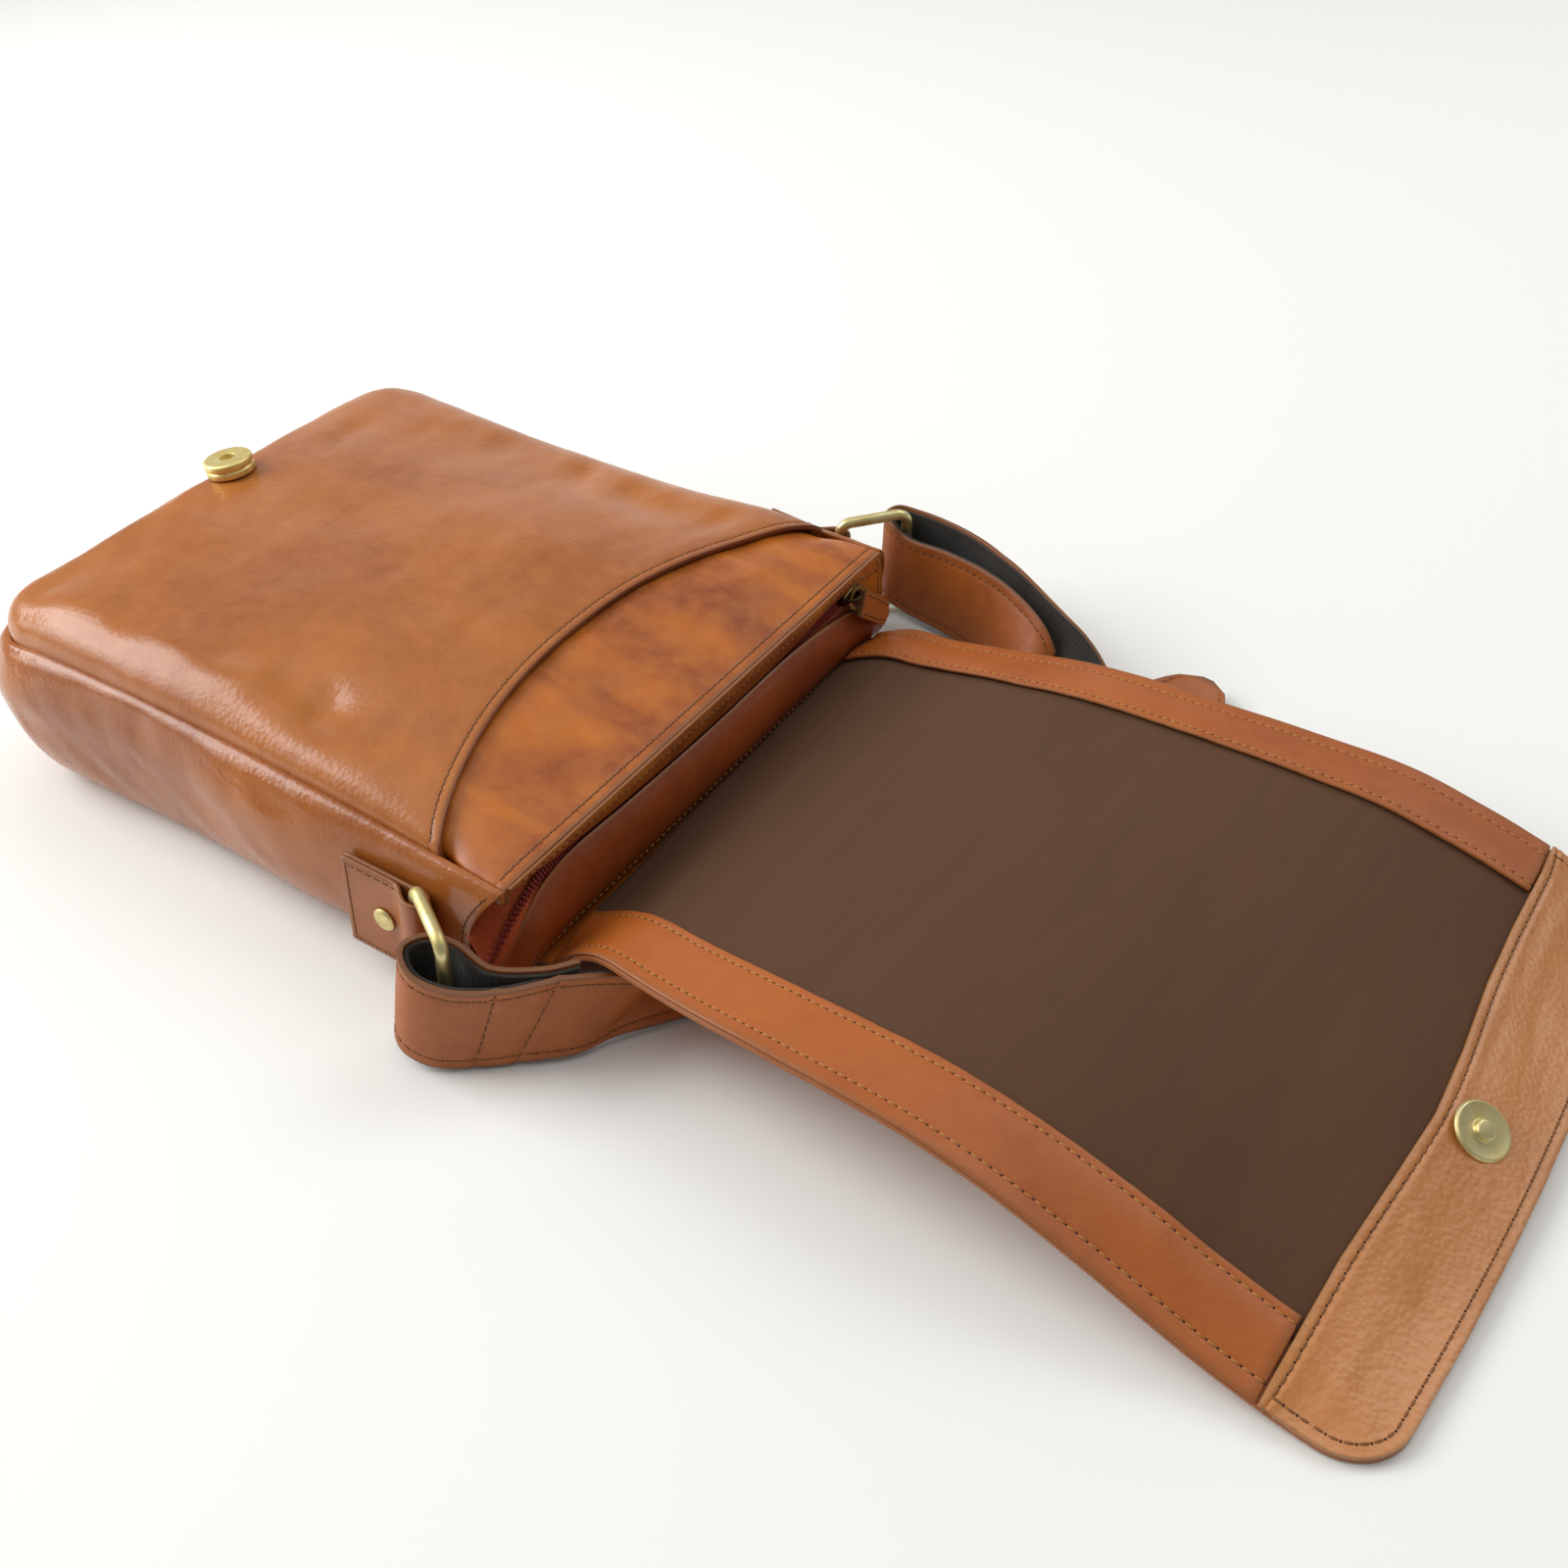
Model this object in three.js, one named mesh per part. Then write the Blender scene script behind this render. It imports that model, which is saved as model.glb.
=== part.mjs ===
// Leather shoulder bag lying on its back, with its flap thrown open past the top edge.
// Millimetres. X runs from the bag's bottom to the flap's end, Y across, Z up from the floor.
// Every shape below is laid out with x = 0 at the bag's top edge; the group then moves along X
// so that the origin is the middle of the back panel on the floor.
import * as THREE from 'three';

// Driving sizes of the body
const BODY_LENGTH = 255;
const BODY_WIDTH = 210;
const CORNER_RADIUS = 24;
const LEATHER = 1.6;
const GAP = 0.4;
const SEAM_OFFSET = 1.1;
const PANEL_INSET = 0.2;
const PANEL_ROUNDING = 17;
const PANEL_GAP = 1.2;
const PANEL_RISE = { before: 4, after: 22, share: 0.4 };
const PANEL_WIDEN = { from: -26, to: -14 };
const CORNER_CROWDING = 1.5;
const END_CROWDING = 0.09;
const POCKET_DIP = 29;
const POCKET_CENTRE_X = -54;
const POCKET_CURVE = 2.2;
const ORIGIN_SHIFT = BODY_LENGTH / 2;

// Back panel: its rounded edge, its end at the top and the rise towards the flap's root
const BACK_ROUNDING = 10;
const BACK_LIFT = 4.5;
const BACK_END = -9;
const BACK_ROOT = { from: -44, flatFrom: -12, rise: 5.5 };

// Gusset: its bulge along the bottom and the way its top ends draw in
const BOTTOM_BULGE = 11;
const GUSSET_TOP = { from: -40, rise: 6, lean: 7 };
const GUSSET_SWELL = { skew: 0.85, fullness: 0.7 };
const SEAM_TUCK = { back: 0.4, front: 0.6 };

// Steps along each stretch of the seam, so that the corners are as round as the sides are long
const SEAM_STEPS = { side: 12, corner: 6, bottom: 8 };
const SEAM_STEP_COUNT = 2 * (SEAM_STEPS.side + SEAM_STEPS.corner) + SEAM_STEPS.bottom;

// Along the bag: height of the front seam, swell of the panel above it, bulge of the gusset
// and how far the front sags towards its far side
const FRONT_SECTIONS = [
  { x: -256, seam: 60, swell: 16, bulge: 9, sag: 0 },
  { x: -215, seam: 63, swell: 14, bulge: 8, sag: 6.5 },
  { x: -150, seam: 62, swell: 12, bulge: 7, sag: 11 },
  { x: -85, seam: 58, swell: 9.5, bulge: 10.5, sag: 9 },
  { x: -45, seam: 54, swell: 7, bulge: 7.5, sag: 3 },
  { x: 0, seam: 49, swell: 0.6, bulge: 6, sag: 0 },
];
const SAG_FROM = 15;

// Soft dents and swellings pressed into the front leather
const DENTS = [
  { x: -92, y: -84, reachX: 26, reachY: 13, depth: -3.5 },
  { x: -130, y: -92, reachX: 30, reachY: 12, depth: 1.8 },
  { x: -236, y: -66, reachX: 18, reachY: 34, depth: -4 },
  { x: -165, y: 20, reachX: 45, reachY: 40, depth: -2.2 },
  { x: -75, y: 78, reachX: 24, reachY: 14, depth: -2.6 },
  { x: -26, y: -30, reachX: 10, reachY: 34, depth: -1.6 },
  { x: -24, y: 52, reachX: 9, reachY: 24, depth: 1.4 },
];

// Top face with the zip, from the near side to the far side
const ZIP_SECTIONS = [
  { y: -104, line: 28, mouth: 8 },
  { y: -92, line: 34.5, mouth: 8 },
  { y: -76, line: 37, mouth: 4 },
  { y: -45, line: 37, mouth: 1.6 },
  { y: 0, line: 37, mouth: 1.6 },
  { y: 45, line: 37.5, mouth: 2.4 },
  { y: 74, line: 38, mouth: 8.5 },
  { y: 104, line: 36, mouth: 9.5 },
];
const ZIP_LENGTH = 204;
const ZIP_TAPE = { half: 8.5, depth: 1, x: -6.6 };
const ZIP_COIL = { half: 2, depth: 1.8, x: -4.8 };
const LIP = 1.4;
const LIP_INSET = 0.8;
const LIP_EDGE_X = -2.2;
const FRONT_LIP = { topX: 1.1, topZ: 47.2, bowX: 1.6 };
const BACK_LIP = { bowX: 3.6, bowDrop: 7, lowX: 2.6, lowZ: 14.5, rootX: -6, rootZ: 10.6 };

// Flap: top face heights along it, at its near and far edges, and the lift of its near edge
const FLAP_SECTIONS = [
  { x: -8, near: 12.6, far: 12.6, curl: 0, half: 97 },
  { x: 2, near: 14, far: 15.4, curl: 0, half: 97 },
  { x: 16, near: 22.5, far: 20.4, curl: 4.5, half: 99.5 },
  { x: 32, near: 29.5, far: 22.8, curl: 4.5, half: 101 },
  { x: 58, near: 32.5, far: 26, curl: 4, half: 104 },
  { x: 92, near: 36, far: 29.5, curl: 4, half: 106.2 },
  { x: 140, near: 38, far: 30.5, curl: 2, half: 106.7 },
  { x: 170, near: 33.5, far: 30.5, curl: 1, half: 106.7 },
  { x: 197, near: 25, far: 29.5, curl: 0, half: 106.7 },
  { x: 222, near: 14.5, far: 24, curl: 0, half: 106.7 },
  { x: 243, near: 8, far: 17, curl: 0, half: 106.7 },
  { x: 262, near: 5.6, far: 10, curl: 0, half: 106.7 },
  { x: 282, near: 5, far: 5.4, curl: 0, half: 106.7 },
];
const FLAP_LENGTH = 277.5;
const FLAP_SKEW = THREE.MathUtils.degToRad(-3.6);
const FLAP_SHIFT = 3.4;
const FLAP_END_BOW = 5.4;
const FLAP_CORNER = 15;
const FLAP_BORDER = 24.5;
const FLAP_CURL_REACH = 25;
const HEM_START = 243;
const LINING_START = 5;
const LINING_TUCK = 5;
const LINING = 1;
const TRIM = 1.3;
const LAYER_GAP = 0.4;
const FLAP_GAP = 0.65;
const ROOT_CROWDING = 1.35;
const FLAP_ROOT = -7;
const SKEW_REACH = 60;
const BORDER_START = 10;
const BORDER_GAP = 0.5;
const STEP_DOWN = { start: 2, length: 7 };

// Strap: the bottom edge of each half (x, y, z) and where its top edge leans to (leanX, leanY)
const STRAP_WIDTH = 36;
const STRAP_LEATHER = 1.7;
const STRAP_CANVAS = 1.2;
const NEAR_STRAP = [
  { x: 13.5, y: -119.6, z: 1.5, leanX: 13, leanY: 13.5 },
  { x: 8.5, y: -124, z: 1.5, leanX: 12.5, leanY: 9.5 },
  { x: -3, y: -129.5, z: 3, leanX: 11, leanY: 5 },
  { x: -14, y: -128.5, z: 6.4, leanX: 10, leanY: 4 },
  { x: -21.5, y: -131, z: 7.4, leanX: 9, leanY: 4 },
  { x: -24.5, y: -137, z: 7.4, leanX: 9, leanY: 4 },
  { x: -18.5, y: -142, z: 5.5, leanX: 10, leanY: 4 },
  { x: -9, y: -141, z: 3, leanX: 11, leanY: 5 },
  { x: 1, y: -134.4, z: 1.5, leanX: 12, leanY: 6 },
  { x: 11.5, y: -126.5, z: 1.5, leanX: 13, leanY: 13 },
  { x: 24, y: -117, z: 1.8, leanX: 14.5, leanY: 27.5 },
  { x: 31, y: -106.6, z: 1.9, leanX: 4, leanY: 31 },
  { x: 39, y: -97, z: 1.9, leanX: -4, leanY: 31.5 },
  { x: 54, y: -80, z: 1.9, leanX: -10, leanY: 31 },
  { x: 80, y: -55, z: 2, leanX: -22, leanY: 26 },
  { x: 106, y: -25, z: 2.8, leanX: -32, leanY: 15 },
  { x: 123, y: 8, z: 3.5, leanX: -35.6, leanY: 5.2 },
  { x: 126.5, y: 30, z: 3.5, leanX: -35.8, leanY: 3.7 },
  { x: 128.5, y: 60, z: 2.4, leanX: -35.9, leanY: 2.4 },
  { x: 130, y: 100, z: 1.9, leanX: -35.9, leanY: 2 },
  { x: 138, y: 139, z: 1.9, leanX: -35, leanY: 8 },
];
const FAR_STRAP = [
  { x: 61, y: 82, z: 1.9, leanX: 11, leanY: 28.5 },
  { x: 57, y: 93, z: 1.9, leanX: 8.5, leanY: 21 },
  { x: 48, y: 106, z: 1.9, leanX: 5, leanY: 14 },
  { x: 34.5, y: 120, z: 1.9, leanX: 2, leanY: 6 },
  { x: 14, y: 128, z: 3, leanX: 2.5, leanY: 2 },
  { x: -4, y: 131.5, z: 4.4, leanX: 3.5, leanY: -1 },
  { x: -14.5, y: 133.5, z: 6.9, leanX: 3.5, leanY: 1 },
  { x: -19.5, y: 139, z: 7.3, leanX: 4, leanY: 0.5 },
  { x: -18.5, y: 145.5, z: 7, leanX: 4, leanY: 0 },
  { x: -11, y: 149, z: 5.5, leanX: 4, leanY: -1.5 },
  { x: 2, y: 148.5, z: 4, leanX: 3, leanY: -1 },
  { x: 16.5, y: 143.5, z: 3, leanX: 2.5, leanY: 1 },
  { x: 31, y: 134.5, z: 1.9, leanX: 3, leanY: 4 },
  { x: 47.4, y: 115.5, z: 1.9, leanX: 6, leanY: 15 },
  { x: 60, y: 103, z: 1.9, leanX: 9, leanY: 19.5 },
  { x: 68.5, y: 95, z: 1.9, leanX: 12.5, leanY: 22 },
  { x: 74.5, y: 86.5, z: 1.9, leanX: 17, leanY: 23.4 },
  { x: 78.5, y: 75, z: 3.2, leanX: 26, leanY: 20 },
  { x: 84, y: 60, z: 7.4, leanX: 35.3, leanY: 3.5 },
  { x: 89.8, y: 34, z: 9.3, leanX: 35.9, leanY: -2.4 },
  { x: 87, y: 11, z: 9.3, leanX: 35.8, leanY: -3.6 },
];
const STRAP_MIN_RISE = 0.5;
const STRAP_STEPS = 2;
const TIP_LENGTH = 0.05;
const TIP_WIDTH = 0.12;
const SLIDE = { width: 41, height: 12.8, wall: 1.5, length: 12, turn: -7.3, x: 107.2, y: 20.6, z: 0.4 };

// Rings of round wire and the tabs that hold them
const RING_WIRE = 4.3;
const RING_LONG = 44;
const RING_SHORT = 27;
const RING_CORNER = 4.5;
const RING_STEPS = 34;
const RING_SIDES = 8;
const TAB_WIDTH = 35;
const TAB_LENGTH = 32;
const TAB_LEAN = 0.05;
const TAB_FOLD = { start: 11, pull: 7, rise: 5.5 };
const RING_NEAR = { side: -1, bar: [-28, -119, 25.4], up: [0.1, 0.1, 0.99], out: [0.86, -0.5, -0.13] };
const RING_FAR = { side: 1, bar: [-26.5, 118.6, 26], up: [0.12, -0.12, 0.98], out: [0.7, 0.71, 0] };
const RIVET_REACH = 15.5;
const RIVET_LIFT = 0.3;
const RIVET_DOME = [
  { r: 0, z: 0 },
  { r: 4.1, z: 0 },
  { r: 4.1, z: 0.5 },
  { r: 3.3, z: 1.1 },
  { r: 1.6, z: 1.4 },
  { r: 0, z: 1.5 },
];

// Magnetic closure: half outlines of its stud and its socket, and where they sit
const TURNED_SIDES = 16;
const STUD_SPOT = { x: 258, y: -8.5 };
const STUD_LIFT = 0.15;
const STUD_OUTLINE = [
  { r: 0, z: 0 },
  { r: 9, z: 0 },
  { r: 9, z: 0.7 },
  { r: 8.2, z: 1.2 },
  { r: 3.2, z: 0.7 },
  { r: 2.6, z: 1 },
  { r: 2.2, z: 2.4 },
  { r: 0, z: 2.6 },
];
const SOCKET_SPOT = { x: -236, y: 2 };
const SOCKET_LIFT = 1.3;
const SOCKET_PROBE = 6;
const SOCKET_OUTLINE = [
  { r: 0, z: 0 },
  { r: 9, z: 0 },
  { r: 9, z: 1.2 },
  { r: 8.1, z: 1.8 },
  { r: 8.1, z: 2.6 },
  { r: 9, z: 3.2 },
  { r: 9, z: 4.1 },
  { r: 8.3, z: 4.6 },
  { r: 2.9, z: 4.6 },
  { r: 2.6, z: 1.6 },
  { r: 0, z: 1.6 },
];

// Zip slider, its jump ring and its leather pull
const SLIDER = { x: -3.5, y: 84, length: 11, width: 7, depth: 4.4, nose: 4.2, round: 3 };
const PULL_RING = { radius: 4.2, wire: 1.3, sides: 5, steps: 14, turn: -6 };
const PULL_RING_SPOT = { x: 2.9, alongY: 5.2, drop: 4.8 };
const PULL_TAG = { length: 20, width: 8, thickness: 2.2, swing: 38, lean: -12 };
const PULL_TAG_SPOT = { x: 5, alongY: 7.7, drop: 8.9 };

const bag = new THREE.Group();
bag.name = 'leather_shoulder_bag';
bag.position.x = ORIGIN_SHIFT;

function finish(color, roughness, metalness) {
  return () => new THREE.MeshStandardMaterial({ color, roughness, metalness });
}

const tanLeather = finish('#a8663a', 0.5, 0);
const flapLeather = finish('#9c5a30', 0.55, 0);
const hemLeather = finish('#b87a4c', 0.6, 0);
const liningCloth = finish('#5a4230', 0.75, 0);
const strapCanvas = finish('#3c342c', 0.95, 0);
const zipCloth = finish('#a5441f', 0.85, 0);
const zipNylon = finish('#4d1a1c', 0.5, 0);
const agedBrass = finish('#c9b26a', 0.35, 1);
const darkBrass = finish('#4a3d2a', 0.4, 1);

function piece(name, geometry, material) {
  const mesh = new THREE.Mesh(geometry, material());
  mesh.name = name;
  bag.add(mesh);
  return mesh;
}

// A smooth curve through one column of a table, read at any value of its key column.
function profile(rows, key, column) {
  const slopes = rows.map((row, i) => {
    const before = rows[Math.max(i - 1, 0)];
    const after = rows[Math.min(i + 1, rows.length - 1)];
    return (after[column] - before[column]) / (after[key] - before[key]);
  });
  return (at) => {
    let i = 0;
    while (i < rows.length - 2 && at > rows[i + 1][key]) i += 1;
    const span = rows[i + 1][key] - rows[i][key];
    const t = THREE.MathUtils.clamp((at - rows[i][key]) / span, 0, 1);
    const start = (1 + 2 * t) * (1 - t) ** 2 * rows[i][column] + t * (1 - t) ** 2 * span * slopes[i];
    const end = t * t * (3 - 2 * t) * rows[i + 1][column] - t * t * (1 - t) * span * slopes[i + 1];
    return start + end;
  };
}

function normalAt(point, u, v) {
  const step = 1e-3;
  const along = point(Math.min(u + step, 1), v).sub(point(Math.max(u - step, 0), v));
  const across = point(u, Math.min(v + step, 1)).sub(point(u, Math.max(v - step, 0)));
  return along.cross(across).normalize();
}

// The same face moved along its own normal.
function offsetFace(point, distance) {
  return (u, v) => point(u, v).addScaledVector(normalAt(point, u, v), distance);
}

// A sheet of even thickness: a thin block bent so that its middle follows point(u, v).
// The lower face's squares are split along the same diagonal as the upper face's.
function sheet(name, material, cells, thickness, point) {
  const geometry = new THREE.BoxGeometry(1, 1, 1, cells.along, cells.across, 1);
  const position = geometry.attributes.position;
  for (let i = 0; i < position.count; i += 1) {
    const u = Math.round((position.getX(i) + 0.5) * 1e6) / 1e6;
    const v = Math.round((position.getY(i) + 0.5) * 1e6) / 1e6;
    const spot = point(u, v).addScaledVector(normalAt(point, u, v), position.getZ(i) * thickness);
    position.setXYZ(i, spot.x, spot.y, spot.z);
  }
  const lower = geometry.groups[5];
  for (let i = lower.start; i < lower.start + lower.count; i += 6) {
    geometry.index.setX(i + 2, geometry.index.getX(i + 4));
    geometry.index.setX(i + 3, geometry.index.getX(i));
  }
  geometry.computeVertexNormals();
  return piece(name, geometry, material);
}

function blend(from, to, value) {
  return THREE.MathUtils.smoothstep(value, from, to);
}

// Rises from 0 at an edge to 1 at the given distance, as a quarter circle does.
function roundOver(distance, reach) {
  const left = 1 - THREE.MathUtils.clamp(distance / reach, 0, 1);
  return Math.sqrt(1 - left * left);
}

// Evenly spread 0 to 1 values drawn closer together at both ends.
function crowdEnds(t) {
  return t - END_CROWDING * Math.sin(2 * Math.PI * t);
}

// Body
const seamHeight = profile(FRONT_SECTIONS, 'x', 'seam');
const swellHeight = profile(FRONT_SECTIONS, 'x', 'swell');
const sideBulge = profile(FRONT_SECTIONS, 'x', 'bulge');
const farSag = profile(FRONT_SECTIONS, 'x', 'sag');

function sagAt(x, y) {
  return farSag(x) * blend(SAG_FROM, BODY_WIDTH / 2, y);
}

function halfWidthAt(x, inset) {
  const straight = BODY_WIDTH / 2 - inset;
  const into = CORNER_RADIUS - (x + BODY_LENGTH - inset);
  if (into <= 0) return straight;
  const radius = CORNER_RADIUS;
  return straight - radius + Math.sqrt(Math.max(radius * radius - into * into, 0));
}

function dentAt(x, y) {
  return DENTS.reduce((sum, dent) => {
    const far = ((x - dent.x) / dent.reachX) ** 2 + ((y - dent.y) / dent.reachY) ** 2;
    return sum + dent.depth * Math.exp(-far);
  }, 0);
}

function frontHeight(x, y, half, inset) {
  const side = roundOver(half - Math.abs(y), PANEL_ROUNDING);
  const bottom = roundOver(x + BODY_LENGTH - inset, PANEL_ROUNDING);
  return seamHeight(x) - sagAt(x, y) + (swellHeight(x) + dentAt(x, y)) * Math.min(side, bottom);
}

function pocketEdge(y) {
  return POCKET_CENTRE_X + POCKET_DIP * (Math.abs(y) / (BODY_WIDTH / 2)) ** POCKET_CURVE;
}

function frontFace(endX, inset) {
  return (u, v) => {
    const across = 2 * crowdEnds(v) - 1;
    const end = endX(across * (BODY_WIDTH / 2 - inset));
    const x = THREE.MathUtils.lerp(-BODY_LENGTH + inset, end, u ** CORNER_CROWDING);
    const half = halfWidthAt(x, inset);
    const y = across * half;
    return new THREE.Vector3(x, y, frontHeight(x, y, half, inset));
  };
}

const layer = LEATHER + PANEL_GAP;
const pocketFace = frontFace(pocketEdge, PANEL_INSET);
const panelBase = frontFace(() => 0, PANEL_INSET + layer);
function panelFace(u, v) {
  const spot = panelBase(u, v);
  const edge = pocketEdge(spot.y);
  const free = blend(edge - PANEL_RISE.before, edge + PANEL_RISE.after, spot.x);
  spot.z -= layer * (1 - PANEL_RISE.share * free);
  spot.y *= 1 + (layer / (BODY_WIDTH / 2)) * blend(PANEL_WIDEN.from, PANEL_WIDEN.to, spot.x);
  return spot;
}
sheet('pocket_panel', tanLeather, { along: 16, across: 16 }, LEATHER, pocketFace);
sheet('front_panel', tanLeather, { along: 12, across: 12 }, LEATHER, panelFace);

// The outline of the seam, walked from the near top corner round the bottom to the far top corner.
function seamWalk(t) {
  const half = BODY_WIDTH / 2 + SEAM_OFFSET;
  const length = BODY_LENGTH + SEAM_OFFSET;
  const { side, corner, bottom } = SEAM_STEPS;
  const halfway = SEAM_STEP_COUNT / 2;
  const step = Math.min(t, 1 - t) * SEAM_STEP_COUNT;
  const hand = t < 0.5 ? -1 : 1;
  if (step <= side) {
    return { x: -(length - CORNER_RADIUS) * (step / side), y: hand * half, outX: 0, outY: hand };
  }
  if (step <= side + corner) {
    const turn = ((step - side) / corner) * (Math.PI / 2);
    const outX = -Math.sin(turn);
    const outY = hand * Math.cos(turn);
    const centreY = hand * (half - CORNER_RADIUS);
    return { x: -length + CORNER_RADIUS * (1 + outX), y: centreY + CORNER_RADIUS * outY, outX, outY };
  }
  const left = (halfway - step) / (bottom / 2);
  return { x: -length, y: hand * (half - CORNER_RADIUS) * left, outX: -1, outY: 0 };
}

const backSeam = LEATHER / 2 + BACK_LIFT;
function gussetFace(u, v) {
  const walk = seamWalk(u);
  const top = blend(GUSSET_TOP.from, 0, walk.x);
  const low = backSeam - SEAM_TUCK.back + GUSSET_TOP.rise * top;
  const sideways = Math.abs(walk.outY);
  const bulge = THREE.MathUtils.lerp(BOTTOM_BULGE, sideBulge(walk.x), sideways ** 2);
  const swell = bulge * Math.sin(Math.PI * v ** GUSSET_SWELL.skew) ** GUSSET_SWELL.fullness;
  const x = walk.x + walk.outX * swell - GUSSET_TOP.lean * top * (1 - v);
  const high = seamHeight(walk.x) - sagAt(walk.x, walk.y) - SEAM_TUCK.front;
  const z = THREE.MathUtils.lerp(low, high, v);
  return new THREE.Vector3(x, walk.y + walk.outY * swell, z);
}
sheet('gusset', tanLeather, { along: SEAM_STEP_COUNT, across: 6 }, LEATHER, gussetFace);

function backFace(u, v) {
  const inset = PANEL_INSET;
  const across = 2 * crowdEnds(v) - 1;
  const x = THREE.MathUtils.lerp(-BODY_LENGTH + inset, BACK_END, u ** CORNER_CROWDING);
  const half = halfWidthAt(x, inset);
  const y = across * half;
  const inFromSide = roundOver(half - Math.abs(y), BACK_ROUNDING);
  const inFromBottom = roundOver(x + BODY_LENGTH - inset, BACK_ROUNDING);
  const lift = BACK_LIFT * (1 - Math.min(inFromSide, inFromBottom));
  const flat = blend(BACK_ROOT.from, BACK_ROOT.flatFrom, x);
  const rise = BACK_ROOT.rise * blend(BACK_ROOT.from, 0, x);
  return new THREE.Vector3(x, y, LEATHER / 2 + lift * (1 - flat) + rise);
}
sheet('back_panel', tanLeather, { along: 12, across: 12 }, LEATHER, backFace);

// Top face with its zip
const zipLine = profile(ZIP_SECTIONS, 'y', 'line');
const zipMouth = profile(ZIP_SECTIONS, 'y', 'mouth');
const lipReach = BODY_WIDTH / 2 - LIP_INSET;

function lipFace(section) {
  return (u, v) => {
    const y = THREE.MathUtils.lerp(-lipReach, lipReach, v);
    const spot = section(y).getPoint(u);
    return new THREE.Vector3(spot.x, y, spot.y);
  };
}
const frontLip = lipFace((y) => new THREE.QuadraticBezierCurve(
  new THREE.Vector2(FRONT_LIP.topX, FRONT_LIP.topZ),
  new THREE.Vector2(FRONT_LIP.bowX, (FRONT_LIP.topZ + zipLine(y)) / 2),
  new THREE.Vector2(LIP_EDGE_X, zipLine(y) + zipMouth(y) / 2),
));
const backLip = lipFace((y) => new THREE.CubicBezierCurve(
  new THREE.Vector2(LIP_EDGE_X, zipLine(y) - zipMouth(y) / 2),
  new THREE.Vector2(BACK_LIP.bowX, zipLine(y) - BACK_LIP.bowDrop),
  new THREE.Vector2(BACK_LIP.lowX, BACK_LIP.lowZ),
  new THREE.Vector2(BACK_LIP.rootX, BACK_LIP.rootZ),
));
sheet('zip_lip_front', tanLeather, { along: 3, across: 14 }, LIP, frontLip);
sheet('zip_lip_back', tanLeather, { along: 5, across: 14 }, LIP, backLip);

function addZipStrip(name, material, strip) {
  const face = (u, v) => {
    const y = THREE.MathUtils.lerp(-ZIP_LENGTH / 2, ZIP_LENGTH / 2, v);
    return new THREE.Vector3(strip.x, y, zipLine(y) + THREE.MathUtils.lerp(strip.half, -strip.half, u));
  };
  sheet(name, material, { along: 1, across: 12 }, strip.depth, face);
}
addZipStrip('zip_tape', zipCloth, ZIP_TAPE);
addZipStrip('zip_coil', zipNylon, ZIP_COIL);

// Outlines drawn flat are stood up so that they face along X, with their width along Y.
const facingFlap = new THREE.Matrix4().makeBasis(
  new THREE.Vector3(0, 1, 0),
  new THREE.Vector3(0, 0, 1),
  new THREE.Vector3(1, 0, 0),
);

function extrude(shape, depth, curveSegments) {
  return new THREE.ExtrudeGeometry(shape, { depth, bevelEnabled: false, curveSegments });
}

const sliderEnd = SLIDER.length / 2;
const sliderSide = SLIDER.width / 2;
const sliderOutline = new THREE.Shape();
sliderOutline.moveTo(-sliderEnd, -SLIDER.nose / 2);
sliderOutline.lineTo(sliderEnd - SLIDER.round, -sliderSide);
sliderOutline.quadraticCurveTo(sliderEnd, -sliderSide, sliderEnd, 0);
sliderOutline.quadraticCurveTo(sliderEnd, sliderSide, sliderEnd - SLIDER.round, sliderSide);
sliderOutline.lineTo(-sliderEnd, SLIDER.nose / 2);
sliderOutline.closePath();
const sliderBody = extrude(sliderOutline, SLIDER.depth, 5);
sliderBody.applyMatrix4(facingFlap);
sliderBody.translate(SLIDER.x, SLIDER.y, zipLine(SLIDER.y));
piece('zip_slider', sliderBody, darkBrass);

const pullRing = new THREE.TorusGeometry(
  PULL_RING.radius,
  PULL_RING.wire / 2,
  PULL_RING.sides,
  PULL_RING.steps,
);
pullRing.rotateY(Math.PI / 2);
pullRing.rotateZ(THREE.MathUtils.degToRad(PULL_RING.turn));
const zipAtSlider = zipLine(SLIDER.y);
pullRing.translate(PULL_RING_SPOT.x, SLIDER.y + PULL_RING_SPOT.alongY, zipAtSlider - PULL_RING_SPOT.drop);
piece('zip_pull_ring', pullRing, agedBrass);

const tagHalf = PULL_TAG.width / 2;
const tagOutline = new THREE.Shape();
tagOutline.moveTo(-tagHalf, 0);
tagOutline.lineTo(tagHalf, 0);
tagOutline.lineTo(tagHalf, -PULL_TAG.length + tagHalf);
tagOutline.absarc(0, -PULL_TAG.length + tagHalf, tagHalf, 0, -Math.PI, true);
tagOutline.closePath();
const tag = extrude(tagOutline, PULL_TAG.thickness, 8);
tag.translate(0, 0, -PULL_TAG.thickness / 2);
tag.applyMatrix4(facingFlap);
tag.rotateX(THREE.MathUtils.degToRad(PULL_TAG.swing));
tag.rotateY(THREE.MathUtils.degToRad(PULL_TAG.lean));
tag.translate(PULL_TAG_SPOT.x, SLIDER.y + PULL_TAG_SPOT.alongY, zipAtSlider - PULL_TAG_SPOT.drop);
piece('zip_pull_tag', tag, tanLeather);

// Flap
const flapNear = profile(FLAP_SECTIONS, 'x', 'near');
const flapFar = profile(FLAP_SECTIONS, 'x', 'far');
const flapCurl = profile(FLAP_SECTIONS, 'x', 'curl');
const flapHalf = profile(FLAP_SECTIONS, 'x', 'half');

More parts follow.
